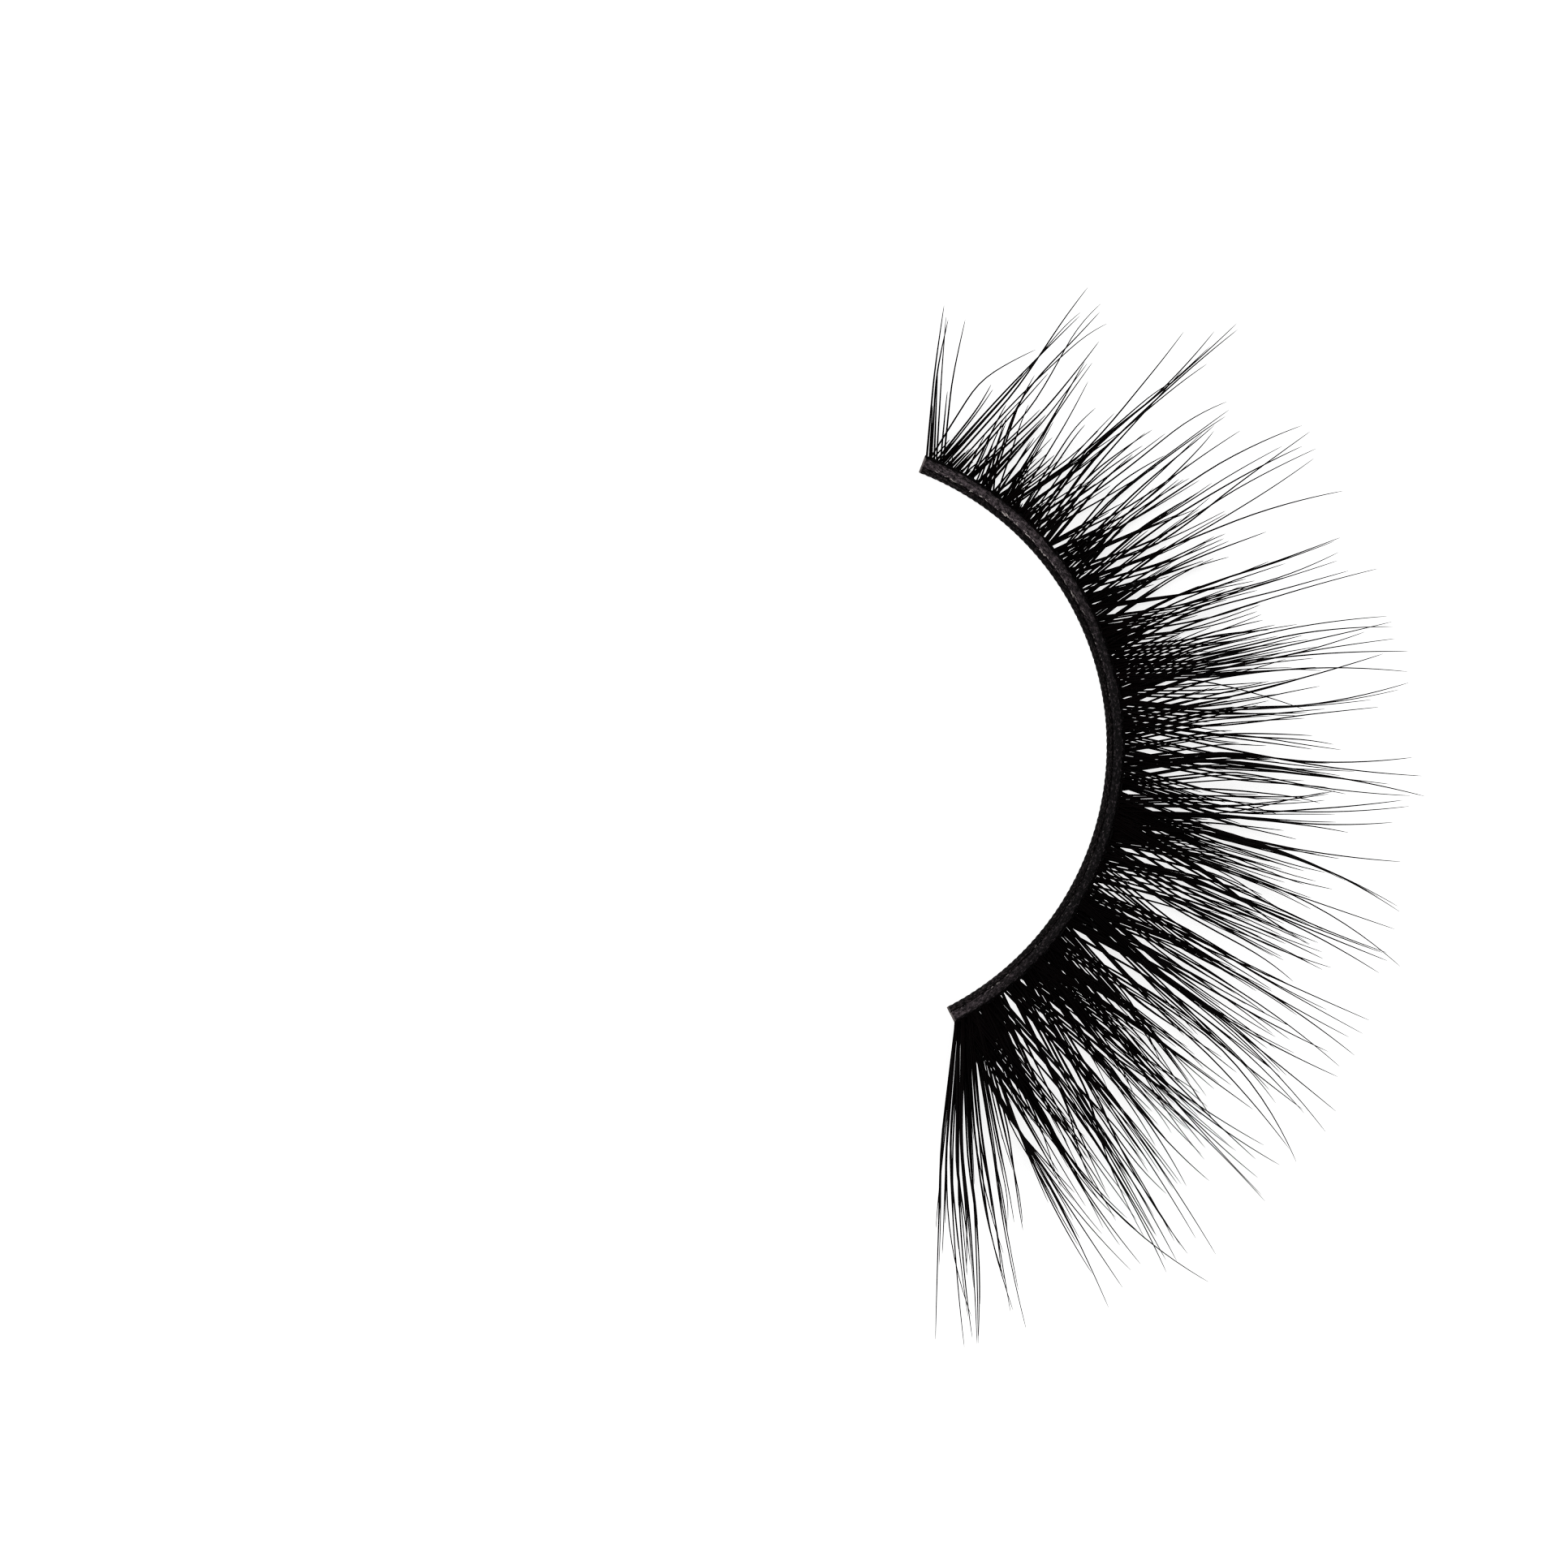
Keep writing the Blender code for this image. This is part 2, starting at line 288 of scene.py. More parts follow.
def map_node(nodes, source, target):
    """Maps the range source to the range target, and holds what lies outside at its ends."""
    values = {"From Min": source[0], "From Max": source[1], "To Min": target[0], "To Max": target[1]}
    return add(nodes, "ShaderNodeMapRange", values)


def group_node(nodes, group, values):
    """Places a node group, with this material's own values."""
    node = nodes.new("ShaderNodeGroup")
    node.node_tree = group
    set_inputs(node, values)
    return node


def attribute_node(nodes, attribute):
    """Reads one of the values that band_sweep stores on a piece's points."""
    node = nodes.new("ShaderNodeAttribute")
    node.attribute_name = attribute
    return node


def colour_mix(nodes, first, second):
    """Mixes two colours. The factor, and either colour, may be linked later."""
    node = nodes.new("ShaderNodeMix")
    node.data_type = "RGBA"
    node.inputs["A"].default_value = (*first, 1)
    node.inputs["B"].default_value = (*second, 1)
    return node


def node_group(name, inputs, outputs):
    """An empty node group with number sockets of these names, and its input and output nodes."""
    group = bpy.data.node_groups.new(name, "ShaderNodeTree")
    for way, sockets in (("INPUT", inputs), ("OUTPUT", outputs)):
        for socket in sockets:
            group.interface.new_socket(socket, in_out=way, socket_type="NodeSocketFloat")
    return group, group.nodes.new("NodeGroupInput"), group.nodes.new("NodeGroupOutput")


def new_material(name, gloss):
    """A material with a Principled shader of that specular level, and its node tree and shader."""
    material = bpy.data.materials.new(name)
    material.use_nodes = True
    shader = material.node_tree.nodes["Principled BSDF"]
    shader.inputs["Specular IOR Level"].default_value = gloss
    return material, material.node_tree, shader


def link_all(tree, rows):
    """Links outputs to inputs. Each row is a node, its output, another node and its input."""
    for start, output, end, entry in rows:
        tree.links.new(start.outputs[output], end.inputs[entry])


# %% The mottle
MOTTLE_SPREAD = (0.35, 0.65)
MOTTLE_BUMP = 0.6


def mottle_group():
    """A node group whose mask is the mean of a coarse and a fine noise over Object coordinates."""
    group, enter, leave = node_group("mottle", ("Coarse", "Fine"), ("Mask",))
    position = group.nodes.new("ShaderNodeTexCoord")
    half = add(group.nodes, "ShaderNodeMath", {1: 0.5}, "MULTIPLY")
    mean = add(group.nodes, "ShaderNodeMath", {1: 0.5}, "MULTIPLY_ADD")
    for socket, target in (("Coarse", mean), ("Fine", half)):
        noise = group.nodes.new("ShaderNodeTexNoise")
        link_all(group, (
            (position, "Object", noise, "Vector"),
            (enter, socket, noise, "Scale"),
            (noise, "Fac", target, 0),
        ))
    link_all(group, ((half, 0, mean, 2), (mean, 0, leave, "Mask")))
    return group


MOTTLE = mottle_group()


def mottled(name, dark, light, coarse, fine, rough, bump_height, gloss):
    """A material whose colour runs from dark to light over the mottle, with a bump and roughness from it.

    coarse and fine are the scales of the two noises, and rough is the roughness at the
    mottle's low and high end.
    """
    material, tree, shader = new_material(name, gloss)
    mottle = group_node(tree.nodes, MOTTLE, {"Coarse": coarse, "Fine": fine})
    colour = tree.nodes.new("ShaderNodeValToRGB")
    for stop, position, shade in zip(colour.color_ramp.elements, MOTTLE_SPREAD, (dark, light)):
        stop.position = position
        stop.color = (*shade, 1)
    roughness = map_node(tree.nodes, (0.0, 1.0), rough)
    bump = add(tree.nodes, "ShaderNodeBump", {"Distance": bump_height, "Strength": MOTTLE_BUMP})
    link_all(tree, (
        (mottle, "Mask", colour, "Fac"),
        (mottle, "Mask", roughness, "Value"),
        (mottle, "Mask", bump, "Height"),
        (colour, "Color", shader, "Base Color"),
        (roughness, "Result", shader, "Roughness"),
        (bump, "Normal", shader, "Normal"),
    ))
    return material


# %% [markdown]
# The thread and the film are streaked lengthwise, so their noise is laid over the place
# along and across the band, and stretched along it. The photograph's light gleams on the
# film's inner third and at both ends. A real gleam would come and go with the view, and on
# black it comes out as a grey veil, so the gloss is kept low and the gleam is part of the
# colour: one row of places and lightnesses for the film, and one for the thread. Where
# the band was cut off, at both ends, its dry inside shows paler.

# %% Streaks and painted gleam along the band
NOISE_DETAIL = 6.0
NOISE_ROUGHNESS = 0.8
CUT_FROM = (0.4965, 0.4995)
FILM_GLEAM = (
    (0.0, 0.9), (0.05, 0.95), (0.18, 1.0), (0.27, 0.52), (0.38, 0.15),
    (0.50, 0.04), (0.75, 0.03), (0.86, 0.14), (0.93, 0.40), (1.0, 1.0),
)
RIM_GLEAM = (
    (0.0, 1.0), (0.04, 0.8), (0.10, 0.35), (0.25, 0.2), (0.42, 0.3),
    (0.55, 0.5), (0.72, 0.5), (0.84, 0.2), (0.91, 1.0), (1.0, 1.0),
)


def streaks_and_painted_gleam_group(name, gleam):
    """A node group for the band: a mask of streaks, the painted gleam of the place, and its cut ends.

    The mask is noise over (place x Along, across x Across). gleam is a row of (place,
    lightness) for the painted sheen. Cut End rises from 0 to 1 between the two distances from the middle in
    CUT_FROM.
    """
    group, enter, leave = node_group(name, ("Along", "Across"), ("Mask", "Lightness", "Cut End"))
    nodes = group.nodes
    place, across = attribute_node(nodes, "place"), attribute_node(nodes, "across")
    joined = nodes.new("ShaderNodeCombineXYZ")
    for index, read in enumerate((place, across)):
        scaled = add(nodes, "ShaderNodeMath", operation="MULTIPLY")
        link_all(group, (
            (read, "Fac", scaled, 0),
            (enter, index, scaled, 1),
            (scaled, 0, joined, index),
        ))
    noise_values = {"Scale": 1.0, "Detail": NOISE_DETAIL, "Roughness": NOISE_ROUGHNESS}
    noise = add(nodes, "ShaderNodeTexNoise", noise_values)
    lightness = nodes.new("ShaderNodeValToRGB")
    stops = lightness.color_ramp.elements
    for position, value in gleam[1:-1]:
        stops.new(position).color = (value, value, value, 1)
    for stop, (_, value) in ((stops[0], gleam[0]), (stops[-1], gleam[-1])):
        stop.color = (value, value, value, 1)
    centred = add(nodes, "ShaderNodeMath", {1: 0.5}, "SUBTRACT")
    from_middle = add(nodes, "ShaderNodeMath", operation="ABSOLUTE")
    cut = map_node(nodes, CUT_FROM, (0.0, 1.0))
    link_all(group, (
        (joined, 0, noise, "Vector"),
        (noise, "Fac", leave, "Mask"),
        (place, "Fac", lightness, "Fac"),
        (lightness, "Color", leave, "Lightness"),
        (place, "Fac", centred, 0),
        (centred, 0, from_middle, 0),
        (from_middle, 0, cut, "Value"),
        (cut, "Result", leave, "Cut End"),
    ))
    return group


FILM_STREAKS_AND_PAINTED_GLEAM = streaks_and_painted_gleam_group("film_streaks_and_painted_gleam", FILM_GLEAM)
RIM_STREAKS_AND_PAINTED_GLEAM = streaks_and_painted_gleam_group("rim_streaks_and_painted_gleam", RIM_GLEAM)
print("gleam rows:", len(FILM_GLEAM), "places on the film and", len(RIM_GLEAM), "on the thread")

# %% Finishes of the band, with painted gleam
BAND_GLOSS = 0.06
BAND_MOTTLE = {"Coarse": 900, "Fine": 7000}
FLECK_SPREAD = (0.535, 0.62)
FLECK_WEIGHT = 0.45
RAGGED = 0.9


def band_finish_and_painted_gleam(name, pattern, dark, light, cut, stretch, spread, fade, rough, bump_height):
    """A band material: dark, with lighter streaks and flecks, and pale cut ends. The lighter
    streaks are partly the band's own streaks and partly painted sheen.

    The share of the light colour is streaks x the painted gleam of the place x nearness to the
    inner edge, plus the flecks. stretch is the noise's scale along and across the band, spread
    the mask values between which a streak lightens, and fade where across the band the painted
    gleam runs out, an edge that the mottle makes ragged. A fade well over 1 never does.
    """
    material, tree, shader = new_material(name, BAND_GLOSS)
    nodes = tree.nodes
    streaks = group_node(nodes, pattern, {"Along": stretch[0], "Across": stretch[1]})
    mottle = group_node(nodes, MOTTLE, BAND_MOTTLE)
    across = attribute_node(nodes, "across")
    clearer = map_node(nodes, spread, (0.0, 1.0))
    flecks = map_node(nodes, FLECK_SPREAD, (0.0, FLECK_WEIGHT))
    ragged = add(nodes, "ShaderNodeMath", {1: -RAGGED}, "MULTIPLY_ADD")
    near = map_node(nodes, (fade[0] - RAGGED / 2, fade[1] - RAGGED / 2), (1.0, 0.0))
    gleaming, kept = (add(nodes, "ShaderNodeMath", operation="MULTIPLY") for _ in range(2))
    flecked = add(nodes, "ShaderNodeMath", operation="ADD")
    body, whole = colour_mix(nodes, dark, light), colour_mix(nodes, dark, cut)
    roughness = map_node(nodes, (0.0, 1.0), rough)
    bump = add(nodes, "ShaderNodeBump", {"Distance": bump_height})
    link_all(tree, (
        (streaks, "Mask", clearer, "Value"),
        (clearer, "Result", gleaming, 0),
        (streaks, "Lightness", gleaming, 1),
        (mottle, "Mask", ragged, 0),
        (across, "Fac", ragged, 2),
        (ragged, 0, near, "Value"),
        (gleaming, 0, kept, 0),
        (near, "Result", kept, 1),
        (streaks, "Mask", flecks, "Value"),
        (kept, 0, flecked, 0),
        (flecks, "Result", flecked, 1),
        (flecked, 0, body, "Factor"),
        (body, "Result", whole, "A"),
        (streaks, "Cut End", whole, "Factor"),
        (whole, "Result", shader, "Base Color"),
        (mottle, "Mask", roughness, "Value"),
        (roughness, "Result", shader, "Roughness"),
        (streaks, "Mask", bump, "Height"),
        (bump, "Normal", shader, "Normal"),
    ))
    return material


# The light colours of thread and film carry the painted sheen of the gleam rows.
COTTON = band_finish_and_painted_gleam(
    "black_cotton", RIM_STREAKS_AND_PAINTED_GLEAM,
    dark=(0.0012, 0.0010, 0.0010), light=(0.070, 0.055, 0.058), cut=(0.20, 0.175, 0.17),
    stretch=(170, 4), spread=(0.48, 0.68), fade=(0.9, 1.6), rough=(0.4, 0.7), bump_height=0.02 * MM,
)
GLUE_FILM = band_finish_and_painted_gleam(
    "dried_glue", FILM_STREAKS_AND_PAINTED_GLEAM,
    dark=(0.0020, 0.0016, 0.0018), light=(0.145, 0.116, 0.128), cut=(0.26, 0.225, 0.22),
    stretch=(150, 4), spread=(0.42, 0.66), fade=(0.62, 1.02), rough=(0.35, 0.6), bump_height=0.02 * MM,
)
# The crumbs' pale colour is partly the glue's own and partly a painted glint.
GLUE_CRUMB_AND_PAINTED_GLINT = band_finish_and_painted_gleam(
    "glue_crumb", FILM_STREAKS_AND_PAINTED_GLEAM,
    dark=(0.020, 0.018, 0.018), light=(0.60, 0.54, 0.52), cut=(0.3, 0.28, 0.27),
    stretch=(900, 40), spread=(0.30, 0.55), fade=(3, 4), rough=(0.2, 0.4), bump_height=0.01 * MM,
)
BOUND_ROOTS = mottled(
    "bound_roots", dark=(0.0010, 0.0008, 0.0008), light=(0.004, 0.0035, 0.004),
    coarse=1500, fine=9000, rough=(0.4, 0.7), bump_height=0.01 * MM, gloss=0.04,
)
HAIR = mottled(
    "black_hair", dark=(0.0008, 0.0004, 0.0005), light=(0.0030, 0.0014, 0.0016),
    coarse=600, fine=14000, rough=(0.35, 0.5), bump_height=0.004 * MM, gloss=0.02,
)

# %% [markdown]
# ## The stem thread
# The lashes are knotted on a cotton thread of three plies. A plain tube would do from
# far off, but the twist shows as soon as the light grazes it, so the tube's radius dips
# along three grooves that wind round it.

# %% Stem thread
THREAD_PLIES = 3
THREAD_TURNS = 34
PLY_GROOVE = 0.16


def thread_profile(along, round_):
    """A circle whose radius dips between the plies: R (1 - groove (1 - |cos(plies (angle - twist) / 2)|))."""
    twist = 2 * math.pi * THREAD_TURNS * along
    groove = 1.0 - np.abs(np.cos(THREAD_PLIES * (round_ - twist) / 2))
    radius = THREAD_RADIUS * (1.0 - PLY_GROOVE * groove)
    return THREAD_MIDDLE + radius * np.cos(round_), THREAD_RADIUS + radius * np.sin(round_)


stem = band_sweep("twisted_stem", thread_profile, steps=620, sides=24, material=COTTON)
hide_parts("stem_thread")

# %% [markdown]
# ## The root tape
# Behind the thread the roots are sealed under a film of glue that dries satin grey. It is
# a flat strip with rounded edges. The film is never even: it rises over the knots and
# sinks between them, and that is worked out here as a sum of sines of unlike lengths.

# %% Root tape
TAPE_SQUARENESS = 0.45
FILM_LAP = 0.06 * MM
FILM_RIPPLE = 0.06
RIPPLE_LEAN = 0.02


def uneven(along, seed, waves=(61, 97, 173, 311)):
    """A smooth unevenness from -1 to 1 along the band: the mean of sines of unlike lengths."""
    total = sum(np.sin(2 * math.pi * wave * along + seed * (k + 1)) for k, wave in enumerate(waves))
    return total / len(waves)


def tape_profile(along, round_):
    """A rounded rectangle, |cos| and |sin| raised to a power under 1, whose top ripples."""
    half_width = (TAPE_OUTER - TAPE_INNER + FILM_LAP) / 2
    half_height = (tape_high[2] - tape_low[2]) / 2
    out = np.sign(np.cos(round_)) * np.abs(np.cos(round_)) ** TAPE_SQUARENESS
    up = np.sign(np.sin(round_)) * np.abs(np.sin(round_)) ** TAPE_SQUARENESS
    top = np.clip(np.sin(round_), 0, 1)
    sink = FILM_RIPPLE * top * (1.0 + uneven(along + RIPPLE_LEAN * out, 1.7))
    radius = TAPE_OUTER + half_width * (out - 1.0)
    return radius, half_height + half_height * (up - sink)


tape = band_sweep("glued_tape", tape_profile, steps=520, sides=28, material=GLUE_FILM)
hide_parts("root_tape")

# %% [markdown]
# ## Crumbs of glue
# Where the film laps on the thread the glue has dried in pale specks and short dashes,
# crowded on the inner third of the band. Their pale colour is partly the glue's own and
# partly a painted glint, and the film's painted gleam dims them in the middle of the band.
# They are one mesh: a rounded cube of 24 faces, repeated over arrays of places and sizes.
# Each lies on the joint, on whichever is higher there, the round of the thread or the film.

# %% Glue crumbs
CRUMBS = 240
CRUMB_SEED = 5
SQUARE, ROUND = 0.45, 0.55
CROWD, REST = (2, 34), (30, 99)
CRUMB_WAVES = ((0.035, 0.8), (0.02, 2.3))
CRUMB_LEAST = (0.03, 0.014, 0.010)
CRUMB_MOST = (0.10, 0.034, 0.020)
LINE_OFFSET = 0.03
LINE_STRAY = 0.035
FILM_LEVEL = 0.90
LUMPINESS = 0.25
SKEW = 0.3


def rounded_cube():
    """The 26 outer points of a 3 x 3 x 3 lattice, drawn about half-way to a ball, and its 24 square faces."""
    steps = (-1, 0, 1)
    lattice = [(i, j, k) for i in steps for j in steps for k in steps if (i, j, k) != (0, 0, 0)]
    quads = []
    for axis in range(3):
        for side in (-1, 1):
            for a, b in ((-1, -1), (-1, 0), (0, -1), (0, 0)):
                corners = [(a, b), (a + 1, b), (a + 1, b + 1), (a, b + 1)][::side]
                turned = [tuple(np.roll((side, *corner), axis).tolist()) for corner in corners]
                quads.append([lattice.index(corner) for corner in turned])
    points = np.array(lattice, float)
    ball = ROUND * points / np.linalg.norm(points, axis=1, keepdims=True)
    return SQUARE * points + ball, np.array(quads)


def glue_crumbs():
    """Crumbs along the joint: each is the rounded cube, stretched along the band, flattened and jittered.

    Three crumbs in five lie in the crowd. The line they follow wanders as a sum of two
    sines of the place. The thread's height at a distance d from its middle is
    R + sqrt(R^2 - d^2).
    """
    crumb_rng = np.random.default_rng(CRUMB_SEED)
    shape, quads = rounded_cube()
    each = len(shape)
    crowd, rest = (crumb_rng.uniform(*stretch, CRUMBS) for stretch in (CROWD, REST))
    place = np.where(np.arange(CRUMBS) % 5 < 3, crowd, rest)
    wave = sum(height * np.sin(pace * place) for height, pace in CRUMB_WAVES)
    radius = TAPE_INNER + MM * (LINE_OFFSET + wave + crumb_rng.normal(0, LINE_STRAY, CRUMBS))
    size = crumb_rng.uniform(CRUMB_LEAST, CRUMB_MOST, (CRUMBS, 3)) * MM
    from_thread = np.minimum(radius, TAPE_INNER) - THREAD_MIDDLE
    thread_height = THREAD_RADIUS + np.sqrt(np.maximum(THREAD_RADIUS**2 - from_thread**2, 0))
    joint = np.maximum(thread_height, FILM_LEVEL * tape_high[2])
    lumps = shape * (1 + crumb_rng.uniform(-LUMPINESS, LUMPINESS, (CRUMBS, each, 1)))
    skew = crumb_rng.uniform(-SKEW, SKEW, CRUMBS)[:, None]
    along = lumps[..., 0] * size[:, [0]]
    out = lumps[..., 1] * size[:, [1]] + skew * along
    up = lumps[..., 2] * size[:, [2]]
    x, y = on_arc(place[:, None] + 100 * along / (2 * HALF_SPAN * radius[:, None]), radius[:, None] + out)
    points = np.stack((x, y, np.minimum(joint[:, None] + up, CAD_HIGH[2])), axis=-1).reshape(-1, 3)
    faces = (each * np.arange(CRUMBS)[:, None, None] + quads).reshape(-1, 4)
    stored = (("place", place / 100), ("across", crumb_rng.uniform(0, 1, CRUMBS)))
    attributes = [(name, np.repeat(values, each)) for name, values in stored]
    return piece_from("glue_crumbs", points, faces, GLUE_CRUMB_AND_PAINTED_GLINT, attributes)


crumbs = glue_crumbs()
